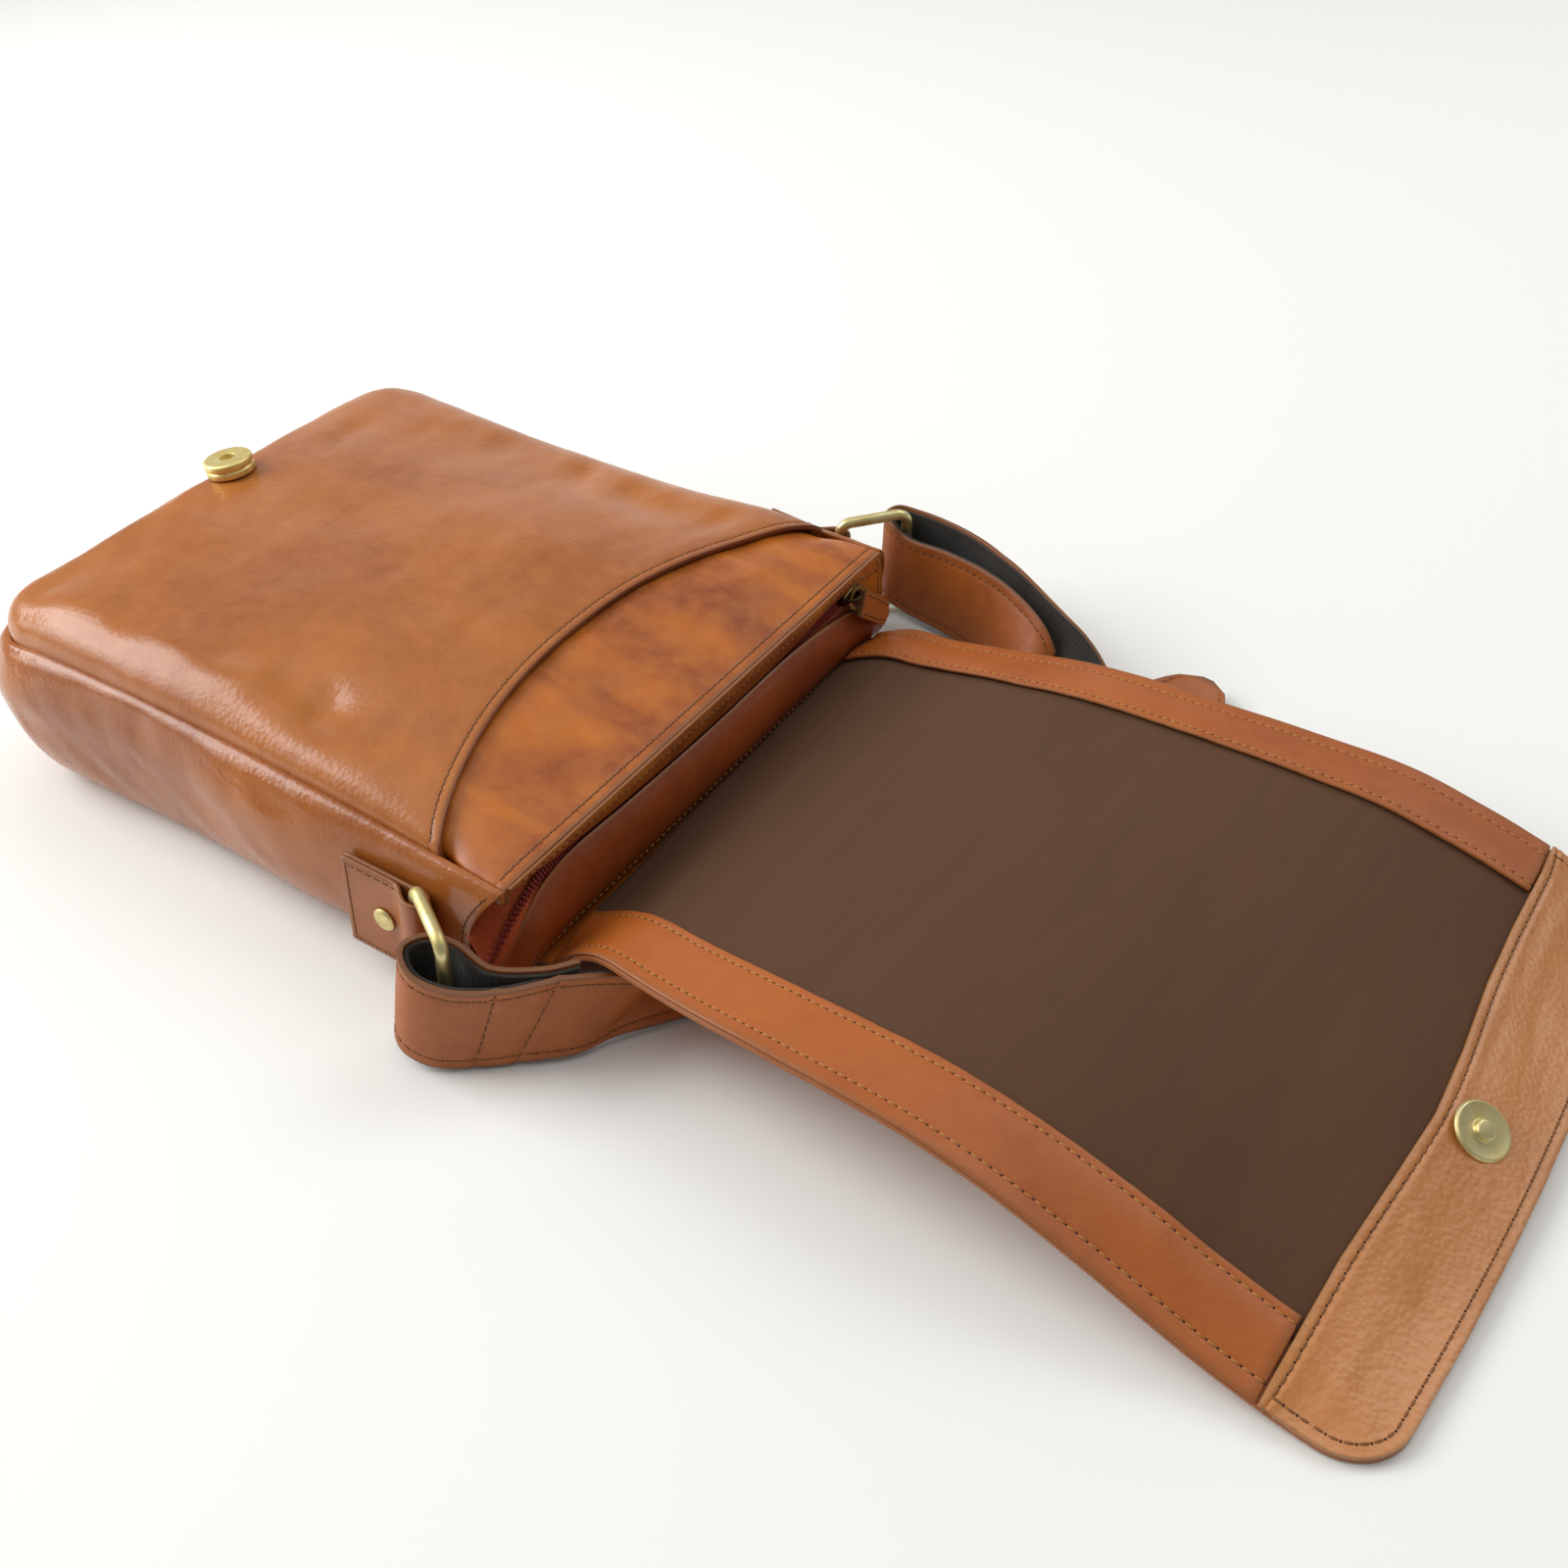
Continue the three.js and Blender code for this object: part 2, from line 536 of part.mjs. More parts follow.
// A point of the flap's top face, from its own length and width, turned by its slight skew.
function flapPoint(x, y) {
  const half = flapHalf(x);
  const fromNear = THREE.MathUtils.clamp((y + half) / (2 * half), 0, 1);
  const curl = flapCurl(x) * Math.max(1 - (y + half) / FLAP_CURL_REACH, 0) ** 2;
  const z = THREE.MathUtils.lerp(flapNear(x), flapFar(x), fromNear) + curl;
  const past = blend(0, SKEW_REACH, x);
  const spot = new THREE.Vector3(x, y, z);
  spot.applyAxisAngle(new THREE.Vector3(0, 0, 1), FLAP_SKEW * past);
  spot.y += FLAP_SHIFT * past;
  return spot;
}

// How far the flap reaches at one place across it, with its bowed end and rounded corners.
function flapEnd(y) {
  const half = flapHalf(FLAP_LENGTH);
  const bow = FLAP_LENGTH - FLAP_END_BOW * (y / half) ** 2;
  const into = Math.abs(y) - (half - FLAP_CORNER);
  if (into <= 0) return bow;
  return bow - FLAP_CORNER + Math.sqrt(Math.max(FLAP_CORNER ** 2 - into ** 2, 0));
}

// A stretch of the flap's top face; its steps along the flap are shorter near the root.
function flapSpan(from, to, yFrom, yTo) {
  const reach = flapHalf(FLAP_LENGTH);
  return (u, v) => {
    const across = THREE.MathUtils.lerp(yFrom, yTo, v);
    const x = THREE.MathUtils.lerp(from, to(across * reach), u ** ROOT_CROWDING);
    return flapPoint(x, across * flapHalf(x));
  };
}

const trimDepth = -TRIM / 2;
const liningDepth = -TRIM - FLAP_GAP - LINING / 2;
const outerDepth = -TRIM - FLAP_GAP * 2 - LINING - LEATHER / 2;
const borderShare = 1 - FLAP_BORDER / flapHalf(FLAP_LENGTH);
const liningShare = borderShare + LINING_TUCK / flapHalf(FLAP_LENGTH);

function crowdAcross(point) {
  return (u, v) => point(u, crowdEnds(v));
}

const flapFace = crowdAcross(flapSpan(FLAP_ROOT, flapEnd, -1, 1));
sheet('flap_leather', flapLeather, { along: 22, across: 12 }, LEATHER, offsetFace(flapFace, outerDepth));

const liningFace = flapSpan(LINING_START, () => HEM_START + LINING_TUCK, -liningShare, liningShare);
sheet('flap_lining', liningCloth, { along: 20, across: 8 }, LINING, offsetFace(liningFace, liningDepth));

// The leather borders lie over the lining's edge and step down past it.
function stepDown(beyond) {
  return -(LINING + FLAP_GAP) * blend(0, STEP_DOWN.length, beyond - LINING_TUCK - STEP_DOWN.start);
}

function borderFace(side) {
  const edges = [side * borderShare, side].sort((a, b) => a - b);
  const span = flapSpan(BORDER_START, () => HEM_START - BORDER_GAP, ...edges);
  return (u, v) => {
    const share = side < 0 ? 1 - v : v;
    const normal = normalAt(span, u, v);
    return span(u, v).addScaledVector(normal, trimDepth + stepDown(share * FLAP_BORDER));
  };
}
sheet('flap_border_near', flapLeather, { along: 20, across: 3 }, TRIM, borderFace(-1));
sheet('flap_border_far', flapLeather, { along: 20, across: 3 }, TRIM, borderFace(1));

const hemSpan = crowdAcross(flapSpan(HEM_START, flapEnd, -1, 1));
function hemFace(u, v) {
  const spot = hemSpan(u, v);
  const half = flapHalf(FLAP_LENGTH);
  const pastSide = (Math.abs(2 * crowdEnds(v) - 1) - borderShare) * half;
  const pastInner = u ** ROOT_CROWDING * (FLAP_LENGTH - HEM_START);
  const depth = trimDepth + stepDown(Math.max(pastSide, pastInner));
  return spot.addScaledVector(normalAt(hemSpan, u, v), depth);
}
sheet('flap_hem', hemLeather, { along: 6, across: 14 }, TRIM, hemFace);

// Turned parts set square on a face
function turned(name, material, outline, spot, axis) {
  const stops = outline.map(({ r, z }) => new THREE.Vector2(r, z));
  const geometry = new THREE.LatheGeometry(stops, TURNED_SIDES);
  const stand = new THREE.Quaternion().setFromUnitVectors(new THREE.Vector3(0, 1, 0), axis);
  geometry.applyQuaternion(stand);
  geometry.translate(spot.x, spot.y, spot.z);
  return piece(name, geometry, material);
}

const studU = (STUD_SPOT.x - HEM_START) / (flapEnd(STUD_SPOT.y) - HEM_START);
const studAxis = normalAt(hemSpan, studU, 0.5);
const studSpot = flapPoint(STUD_SPOT.x, STUD_SPOT.y).addScaledVector(studAxis, STUD_LIFT);
turned('snap_stud', agedBrass, STUD_OUTLINE, studSpot, studAxis);

function socketSeat(x) {
  const z = frontHeight(x, SOCKET_SPOT.y, halfWidthAt(x, PANEL_INSET), PANEL_INSET);
  return new THREE.Vector3(x, SOCKET_SPOT.y, z);
}
const socketRun = socketSeat(SOCKET_SPOT.x + SOCKET_PROBE).sub(socketSeat(SOCKET_SPOT.x - SOCKET_PROBE));
const socketAxis = new THREE.Vector3(-socketRun.z, 0, socketRun.x).normalize();
const socketSpot = socketSeat(SOCKET_SPOT.x).addScaledVector(socketAxis, SOCKET_LIFT);
turned('snap_socket', agedBrass, SOCKET_OUTLINE, socketSpot, socketAxis);

// Strap halves, each a leather band with canvas on its inner face
function strapFace(rows, tipped) {
  const edge = new THREE.CatmullRomCurve3(rows.map((row) => new THREE.Vector3(row.x, row.y, row.z)));
  const lean = new THREE.CatmullRomCurve3(rows.map((row) => new THREE.Vector3(row.leanX, row.leanY, 0)));
  return (u, v) => {
    const tilt = lean.getPoint(u);
    tilt.z = Math.sqrt(Math.max(STRAP_WIDTH ** 2 - tilt.lengthSq(), STRAP_MIN_RISE ** 2));
    const left = THREE.MathUtils.clamp((u - 1 + TIP_LENGTH) / TIP_LENGTH, 0, 1);
    const taper = tipped ? TIP_WIDTH + (1 - TIP_WIDTH) * Math.sqrt(1 - left * left) : 1;
    return edge.getPoint(u).addScaledVector(tilt, 0.5 + (v - 0.5) * taper);
  };
}

function strap(name, rows, side, tipped) {
  const middle = strapFace(rows, tipped);
  const along = (rows.length - 1) * STRAP_STEPS;
  const leatherFace = offsetFace(middle, side * (LAYER_GAP + STRAP_LEATHER) / 2);
  const canvasFace = offsetFace(middle, -side * (LAYER_GAP + STRAP_CANVAS) / 2);
  sheet(name, tanLeather, { along, across: 2 }, STRAP_LEATHER, leatherFace);
  sheet(`${name}_canvas`, strapCanvas, { along, across: 2 }, STRAP_CANVAS, canvasFace);
}
strap('strap_near', NEAR_STRAP, 1, true);
strap('strap_far', FAR_STRAP, -1, false);

// A plain slide that keeps the two halves together under the flap
const slideHalf = SLIDE.width / 2;
const slideShape = new THREE.Shape();
slideShape.moveTo(-slideHalf, 0);
slideShape.lineTo(slideHalf, 0);
slideShape.lineTo(slideHalf, SLIDE.height);
slideShape.lineTo(-slideHalf, SLIDE.height);
slideShape.closePath();
const slideHole = new THREE.Path();
slideHole.moveTo(-slideHalf + SLIDE.wall, SLIDE.wall);
slideHole.lineTo(-slideHalf + SLIDE.wall, SLIDE.height - SLIDE.wall);
slideHole.lineTo(slideHalf - SLIDE.wall, SLIDE.height - SLIDE.wall);
slideHole.lineTo(slideHalf - SLIDE.wall, SLIDE.wall);
slideHole.closePath();
slideShape.holes.push(slideHole);
const slide = extrude(slideShape, SLIDE.length, 1);
slide.translate(0, 0, -SLIDE.length / 2);
slide.rotateX(Math.PI / 2);
slide.rotateZ(THREE.MathUtils.degToRad(SLIDE.turn));
slide.translate(SLIDE.x, SLIDE.y, SLIDE.z);
piece('strap_slide', slide, agedBrass);

// Rings, tabs and rivets
function ringAxes(ring) {
  const up = new THREE.Vector3(...ring.up).normalize();
  const out = new THREE.Vector3(...ring.out);
  out.addScaledVector(up, -out.dot(up)).normalize();
  return { up, out, bar: new THREE.Vector3(...ring.bar) };
}

function addRing(name, ring) {
  const { up, out, bar } = ringAxes(ring);
  const outline = new THREE.Shape();
  const halfLong = RING_LONG / 2;
  const r = RING_CORNER;
  outline.moveTo(r, -halfLong);
  outline.lineTo(RING_SHORT - r, -halfLong);
  outline.absarc(RING_SHORT - r, -halfLong + r, r, -Math.PI / 2, 0, false);
  outline.lineTo(RING_SHORT, halfLong - r);
  outline.absarc(RING_SHORT - r, halfLong - r, r, 0, Math.PI / 2, false);
  outline.lineTo(r, halfLong);
  outline.absarc(r, halfLong - r, r, Math.PI / 2, Math.PI, false);
  outline.lineTo(0, -halfLong + r);
  outline.absarc(r, -halfLong + r, r, Math.PI, 1.5 * Math.PI, false);
  const stops = outline.getSpacedPoints(RING_STEPS).slice(0, -1);
  const wire = new THREE.CatmullRomCurve3(
    stops.map((p) => bar.clone().addScaledVector(out, p.x).addScaledVector(up, p.y)),
    true,
  );
  piece(name, new THREE.TubeGeometry(wire, RING_STEPS, RING_WIRE / 2, RING_SIDES, true), agedBrass);
}
addRing('ring_near', RING_NEAR);
addRing('ring_far', RING_FAR);

function addTab(name, ring) {
  const { up, bar } = ringAxes(ring);
  const along = new THREE.Vector3(-1, TAB_LEAN * ring.side, 0);
  along.addScaledVector(up, -along.dot(up)).normalize();
  const outward = new THREE.Vector3().crossVectors(up, along).multiplyScalar(-ring.side);
  const depthAxis = new THREE.Vector3().crossVectors(along, outward);
  const inner = RING_WIRE / 2 + GAP;
  const outer = inner + LEATHER;
  const face = -outer + 2 * LEATHER;
  const shape = new THREE.Shape();
  shape.moveTo(TAB_LENGTH, -outer);
  shape.lineTo(TAB_LENGTH, face);
  shape.lineTo(TAB_FOLD.start, face);
  shape.bezierCurveTo(TAB_FOLD.pull, face, TAB_FOLD.rise, outer, 0, outer);
  shape.absarc(0, 0, outer, Math.PI / 2, 1.5 * Math.PI, false);
  shape.closePath();
  const hole = new THREE.Path();
  hole.absarc(0, 0, inner, 0, 2 * Math.PI, true);
  shape.holes.push(hole);
  const geometry = extrude(shape, TAB_WIDTH, 8);
  geometry.translate(0, 0, -TAB_WIDTH / 2);
  geometry.applyMatrix4(new THREE.Matrix4().makeBasis(along, outward, depthAxis));
  geometry.translate(bar.x, bar.y, bar.z);
  piece(name, geometry, tanLeather);
  const seat = bar.clone().addScaledVector(along, RIVET_REACH).addScaledVector(outward, face + RIVET_LIFT);
  turned(`${name}_rivet`, agedBrass, RIVET_DOME, seat, outward);
}
addTab('tab_near', RING_NEAR);
addTab('tab_far', RING_FAR);

export default bag;
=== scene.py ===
"""Dresses the leather shoulder bag: grained leather, cloth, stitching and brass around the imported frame.

Shapes are laid out in millimetres with x = 0 at the bag's top edge, as in the part's source, and moved into
the frame's metres when a mesh is made.
"""

from __future__ import annotations

import logging
import math
from dataclasses import dataclass, field
from enum import Enum
from typing import Any, Callable, Dict, Iterable, List, Optional, Sequence, Tuple, Union

import bmesh
import bpy
from mathutils import Matrix, Vector, noise
from mathutils.bvhtree import BVHTree


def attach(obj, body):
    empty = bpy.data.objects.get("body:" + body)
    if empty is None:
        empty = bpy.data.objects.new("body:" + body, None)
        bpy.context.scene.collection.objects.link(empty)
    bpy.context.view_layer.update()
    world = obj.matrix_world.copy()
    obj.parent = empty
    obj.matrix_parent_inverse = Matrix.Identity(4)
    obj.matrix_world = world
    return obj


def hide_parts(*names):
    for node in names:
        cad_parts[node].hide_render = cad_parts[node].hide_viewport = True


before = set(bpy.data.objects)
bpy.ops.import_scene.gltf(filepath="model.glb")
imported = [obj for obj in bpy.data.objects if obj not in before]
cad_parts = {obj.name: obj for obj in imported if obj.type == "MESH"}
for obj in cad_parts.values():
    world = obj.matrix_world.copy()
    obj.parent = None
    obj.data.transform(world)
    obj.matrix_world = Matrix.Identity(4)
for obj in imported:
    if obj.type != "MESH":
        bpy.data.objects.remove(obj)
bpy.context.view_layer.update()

LOG = logging.getLogger("shoulder_bag")
MM = 0.001
# From the frame's origin, at the middle of the back panel, to the bag's top edge
ORIGIN_SHIFT = 127.5
BODY = "root"
UP = Vector((0.0, 0.0, 1.0))
MERGE = 0.01 * MM

Face = Callable[[float, float], Vector]
Relief = Callable[[float, float, Vector], float]
Row = Dict[str, float]
SocketValue = Union[float, Tuple[float, ...], bpy.types.NodeSocket]


class Side(Enum):
    """The bag's two sides, by the sign of their Y."""

    NEAR = -1
    FAR = 1


# Small maths


def lerp(low: float, high: float, share: float) -> float:
    """Returns the value that lies the given share of the way from low to high."""
    return low + (high - low) * share


def clamp(value: float, low: float = 0.0, high: float = 1.0) -> float:
    """Returns value kept between low and high."""
    return max(low, min(high, value))


def ease(low: float, high: float, value: float) -> float:
    """Returns 0 below low, 1 above high and a smooth step between them."""
    share = clamp((value - low) / (high - low))
    return share * share * (3 - 2 * share)


def round_over(distance: float, reach: float) -> float:
    """Returns a quarter circle's rise from 0 at an edge to 1 at the given reach."""
    left = 1 - clamp(distance / reach)
    return math.sqrt(1 - left * left)


def bell(distance: float, width: float) -> float:
    """Returns 1 at no distance, falling smoothly to 0 past the width."""
    return math.exp(-((distance / width) ** 2))


def ripple(point: Vector, size_mm: float, shift: float = 0.0) -> float:
    """Returns smooth noise from -1 to 1 whose swells are about size_mm across."""
    return noise.noise(point / size_mm + Vector((shift, shift * 0.7, -shift)))


def to_frame(point: Vector) -> Vector:
    """Returns a point of the layout, in millimetres, in the frame's metres."""
    return Vector((point.x + ORIGIN_SHIFT, point.y, point.z)) * MM


def walked(points: Sequence[Vector]) -> List[float]:
    """Measures a line of points.

    Args:
        points: The points, in order.

    Returns:
        The length walked up to each of them.
    """
    lengths = [0.0]
    for before, after in zip(points, points[1:]):
        lengths.append(lengths[-1] + (after - before).length)
    return lengths


def stations(
    low: float, high: float, step: float, focus: Iterable[float] = (), fine: float = 0.6
) -> List[float]:
    """Spreads stations over a length, closer together around each focus.

    Args:
        low: First station.
        high: Last station.
        step: Spacing away from the focuses.
        focus: Places, such as stitch rows, that need a closer spacing.
        fine: Spacing at the focuses.

    Returns:
        The stations in rising order.
    """
    count = max(1, round((high - low) / step))
    stops = [lerp(low, high, i / count) for i in range(count + 1)]
    for place in focus:
        stops += [place + fine * k for k in range(-3, 4)]
    kept: List[float] = []
    for stop in sorted(s for s in stops if low <= s <= high):
        if not kept or stop - kept[-1] > fine * 0.4:
            kept.append(stop)
    kept[-1] = high
    return kept


def table(names: str, *rows: Tuple[float, ...]) -> List[Row]:
    """Returns a table's rows by the names of its columns."""
    return [dict(zip(names.split(), row)) for row in rows]


class Column:
    """A smooth curve through one column of a table."""

    def __init__(self, rows: Sequence[Row], key: str, value: str) -> None:
        """Keeps the column's keys, values and slopes.

        Args:
            rows: The table.
            key: Name of the column to read along.
            value: Name of the column to read.
        """
        self.keys = [row[key] for row in rows]
        self.values = [row[value] for row in rows]
        last = len(rows) - 1
        self.slopes = [
            (self.values[min(i + 1, last)] - self.values[max(i - 1, 0)])
            / (self.keys[min(i + 1, last)] - self.keys[max(i - 1, 0)])
            for i in range(len(rows))
        ]

    def __call__(self, at: float) -> float:
        """Reads the curve.

        Args:
            at: A value of the key column.

        Returns:
            The column's value there.
        """
        i = 0
        while i < len(self.keys) - 2 and at > self.keys[i + 1]:
            i += 1
        span = self.keys[i + 1] - self.keys[i]
        t = clamp((at - self.keys[i]) / span)
        start = (1 + 2 * t) * (1 - t) ** 2 * self.values[i] + t * (1 - t) ** 2 * span * self.slopes[i]
        end = t * t * (3 - 2 * t) * self.values[i + 1] - t * t * (1 - t) * span * self.slopes[i + 1]
        return start + end


def column(rows: Sequence[Row], key: str, value: str) -> Any:
    """Returns a dataclass field that holds the curve of one column."""
    return field(default_factory=lambda: Column(rows, key, value))


class Spline:
    """A centripetal curve through points, read by a share of its point count."""

    def __init__(self, points: Sequence[Vector]) -> None:
        """Keeps the points, with one more past each end.

        Args:
            points: The points that the curve passes through.
        """
        first, last = points[0] * 2 - points[1], points[-1] * 2 - points[-2]
        self.points = [first, *points, last]

    def __call__(self, share: float) -> Vector:
        """Reads the curve.

        Args:
            share: From 0 at the first point to 1 at the last.

        Returns:
            The point there.
        """
        spans = len(self.points) - 3
        at = clamp(share) * spans
        i = min(int(at), spans - 1)
        t = at - i
        p0, p1, p2, p3 = self.points[i : i + 4]
        d0, d1, d2 = (max((b - a).length, 1e-4) ** 0.5 for a, b in ((p0, p1), (p1, p2), (p2, p3)))
        m1 = ((p1 - p0) / d0 - (p2 - p0) / (d0 + d1) + (p2 - p1) / d1) * d1
        m2 = ((p2 - p1) / d1 - (p3 - p1) / (d1 + d2) + (p3 - p2) / d2) * d1
        cubic = (p1 - p2) * 2 + m1 + m2
        square = (p2 - p1) * 3 - m1 * 2 - m2
        return p1 + m1 * t + square * (t * t) + cubic * (t * t * t)


# Finishes


def linear(code: str) -> Tuple[float, float, float, float]:
    """Turns an sRGB colour to a linear one.

    Args:
        code: The colour as a hex code.

    Returns:
        Linear red, green, blue and alpha.
    """
    channels = [int(code[i : i + 2], 16) / 255 for i in (1, 3, 5)]
    made = [c / 12.92 if c <= 0.04045 else ((c + 0.055) / 1.055) ** 2.4 for c in channels]
    return (made[0], made[1], made[2], 1.0)


def per_mm(size: float) -> float:
    """Returns the texture scale whose pattern repeats about every size millimetres."""
    return 1 / (size * MM)


def fill(node: bpy.types.Node, inputs: Dict[Union[str, int], SocketValue]) -> None:
    """Sets or links a node's inputs.

    Args:
        node: The node.
        inputs: Values, or output sockets to link, by input name or number.
    """
    for key, value in inputs.items():
        if isinstance(value, bpy.types.NodeSocket):
            node.id_data.links.new(value, node.inputs[key])
        else:
            node.inputs[key].default_value = value


def add_node(
    tree: bpy.types.NodeTree,
    kind: str,
    inputs: Optional[Dict[Union[str, int], SocketValue]] = None,
    **settings: Any,
) -> bpy.types.Node:
    """Adds one node with its settings, values and links.

    Args:
        tree: The node tree.
        kind: The node's type name, less its first word.
        inputs: Values, or output sockets to link, by input name or number.
        settings: Attributes to set on the node.

    Returns:
        The new node.
    """
    node = tree.nodes.new(f"ShaderNode{kind}")
    for name, value in settings.items():
        setattr(node, name, value)
    fill(node, inputs or {})
    return node


# Socket numbers of a Mix node that mixes colours, and of a Map Range node
FACTOR, MIX_A, MIX_B, MIX_OUT = 0, 6, 7, 2
VALUE, FROM_LOW, FROM_HIGH, TO_LOW, TO_HIGH = 0, 1, 2, 3, 4


@dataclass(frozen=True)
class Finish:
    """A surface finish: its name and the shader values that are the same all over it."""

    name: str

    def shader(self) -> Tuple[bpy.types.Material, bpy.types.NodeTree, bpy.types.Node]:
        """Starts the finish's material.

        Returns:
            The new material, its node tree and its shader.
        """
        material = bpy.data.materials.new(self.name)
        material.use_nodes = True
        tree = material.node_tree
        return material, tree, tree.nodes["Principled BSDF"]

    def material(self) -> bpy.types.Material:
        """Returns the finish's material, made at its first use."""
        return bpy.data.materials.get(self.name) or self.make()

    def make(self) -> bpy.types.Material:
        """Makes the finish's material."""
        raise NotImplementedError


@dataclass(frozen=True)
class Leather(Finish):
    """Waxed full-grain cowhide: mottled dye, fine pebble, creases and a satin shine.

    Attributes:
        deep: The dye where it lies thickest.
        middle: The dye elsewhere.
        pale: The worn flecks.
        edge: The colour of the piece's rim: a dyed edge, and on the gusset painted shade in the seam grooves.
        mottle_mm: Size of the clouds in the dye.
        drawn: How far the clouds are pulled out along each axis.
        crease_mm: Size of the flecks, and the spacing that the creases are worked out from.
        grain_mm: Size of one pebble. Real ones are too fine to show, so they are drawn twice as coarse.
        grain_depth_mm: Depth of the pebble.
        crease_depth_mm: Depth of the creases.
        shine: Roughness of the glossiest and the dullest patches.
    """

    deep: str
    middle: str
    pale: str
    edge: str
    mottle_mm: float = 70.0
    drawn: Tuple[float, float, float] = (1.0, 1.0, 1.0)
    crease_mm: float = 7.0
    grain_mm: float = 1.7
    grain_depth_mm: float = 0.09
    crease_depth_mm: float = 0.16
    shine: Tuple[float, float] = (0.3, 0.5)

    def make(self) -> bpy.types.Material:
        """Makes the leather: cloudy dye, worn flecks, a rim colour, which is a dyed edge on most pieces and
        painted seam shade on the gusset, and a creased, pebbled bump.

        Returns:
            The material.
        """
        material, tree, shader = self.shader()
        place = add_node(tree, "TexCoord").outputs["Object"]
        pulled = add_node(tree, "Mapping", {"Vector": place, "Scale": self.drawn})
        cloud_size = per_mm(self.mottle_mm)
        patches = {"Vector": pulled.outputs[0], "Scale": cloud_size, "Detail": 4.0, "Distortion": 0.6}
        clouds = add_node(tree, "TexNoise", patches)
        specks = {"Vector": place, "Scale": per_mm(self.crease_mm), "Detail": 6.0, "Roughness": 0.62}
        flecks = add_node(tree, "TexNoise", specks)
        slant = {"Vector": place, "Rotation": (0.3, 0.2, 0.6), "Scale": (1.0, 0.3, 1.0)}
        stretch = add_node(tree, "Mapping", slant)
        ridges = {"Vector": stretch.outputs[0], "Scale": per_mm(self.crease_mm * 2.4), "Detail": 4.0}
        creases = add_node(tree, "TexNoise", ridges, noise_type="RIDGED_MULTIFRACTAL")
        cells = {"Vector": place, "Scale": per_mm(self.grain_mm), "Smoothness": 0.6, "Randomness": 1.0}
        pebble = add_node(tree, "TexVoronoi", cells, feature="SMOOTH_F1")
        cloud_span = {VALUE: clouds.outputs[0], FROM_LOW: 0.34, FROM_HIGH: 0.66, TO_LOW: 0.0, TO_HIGH: 1.0}
        cloud_share = add_node(tree, "MapRange", cloud_span)
        fleck_span = {VALUE: flecks.outputs[0], FROM_LOW: 0.35, FROM_HIGH: 0.75, TO_LOW: 0.0, TO_HIGH: 0.4}
        fleck_share = add_node(tree, "MapRange", fleck_span)
        dyes = {FACTOR: cloud_share.outputs[0], MIX_A: linear(self.deep), MIX_B: linear(self.middle)}
        dye = add_node(tree, "Mix", dyes, data_type="RGBA")
        wear = {FACTOR: fleck_share.outputs[0], MIX_A: dye.outputs[MIX_OUT], MIX_B: linear(self.pale)}
        worn = add_node(tree, "Mix", wear, data_type="RGBA")
        # The rim colour: a dyed edge on most pieces, painted shade in the seam grooves on the gusset
        rim = add_node(tree, "Attribute", attribute_name="rim")
        edging = {FACTOR: rim.outputs["Fac"], MIX_A: worn.outputs[MIX_OUT], MIX_B: linear(self.edge)}
        edged = add_node(tree, "Mix", edging, data_type="RGBA")
        glossy, dull = self.shine
        shine_span = {VALUE: clouds.outputs[0], FROM_LOW: 0.3, FROM_HIGH: 0.7, TO_LOW: dull, TO_HIGH: glossy}
        shine = add_node(tree, "MapRange", shine_span)
        grain = {"Strength": 0.6, "Distance": self.grain_depth_mm * MM, "Height": pebble.outputs[0]}
        fine = add_node(tree, "Bump", grain, invert=True)
        folds = {"Strength": 0.7, "Distance": self.crease_depth_mm * MM, "Height": creases.outputs[0]}
        lined = add_node(tree, "Bump", {**folds, "Normal": fine.outputs[0]}, invert=True)
        surface = {"Base Color": edged.outputs[MIX_OUT], "Roughness": shine.outputs[0]}
        fill(shader, {**surface, "Normal": lined.outputs[0], "Specular IOR Level": 0.5})
        return material


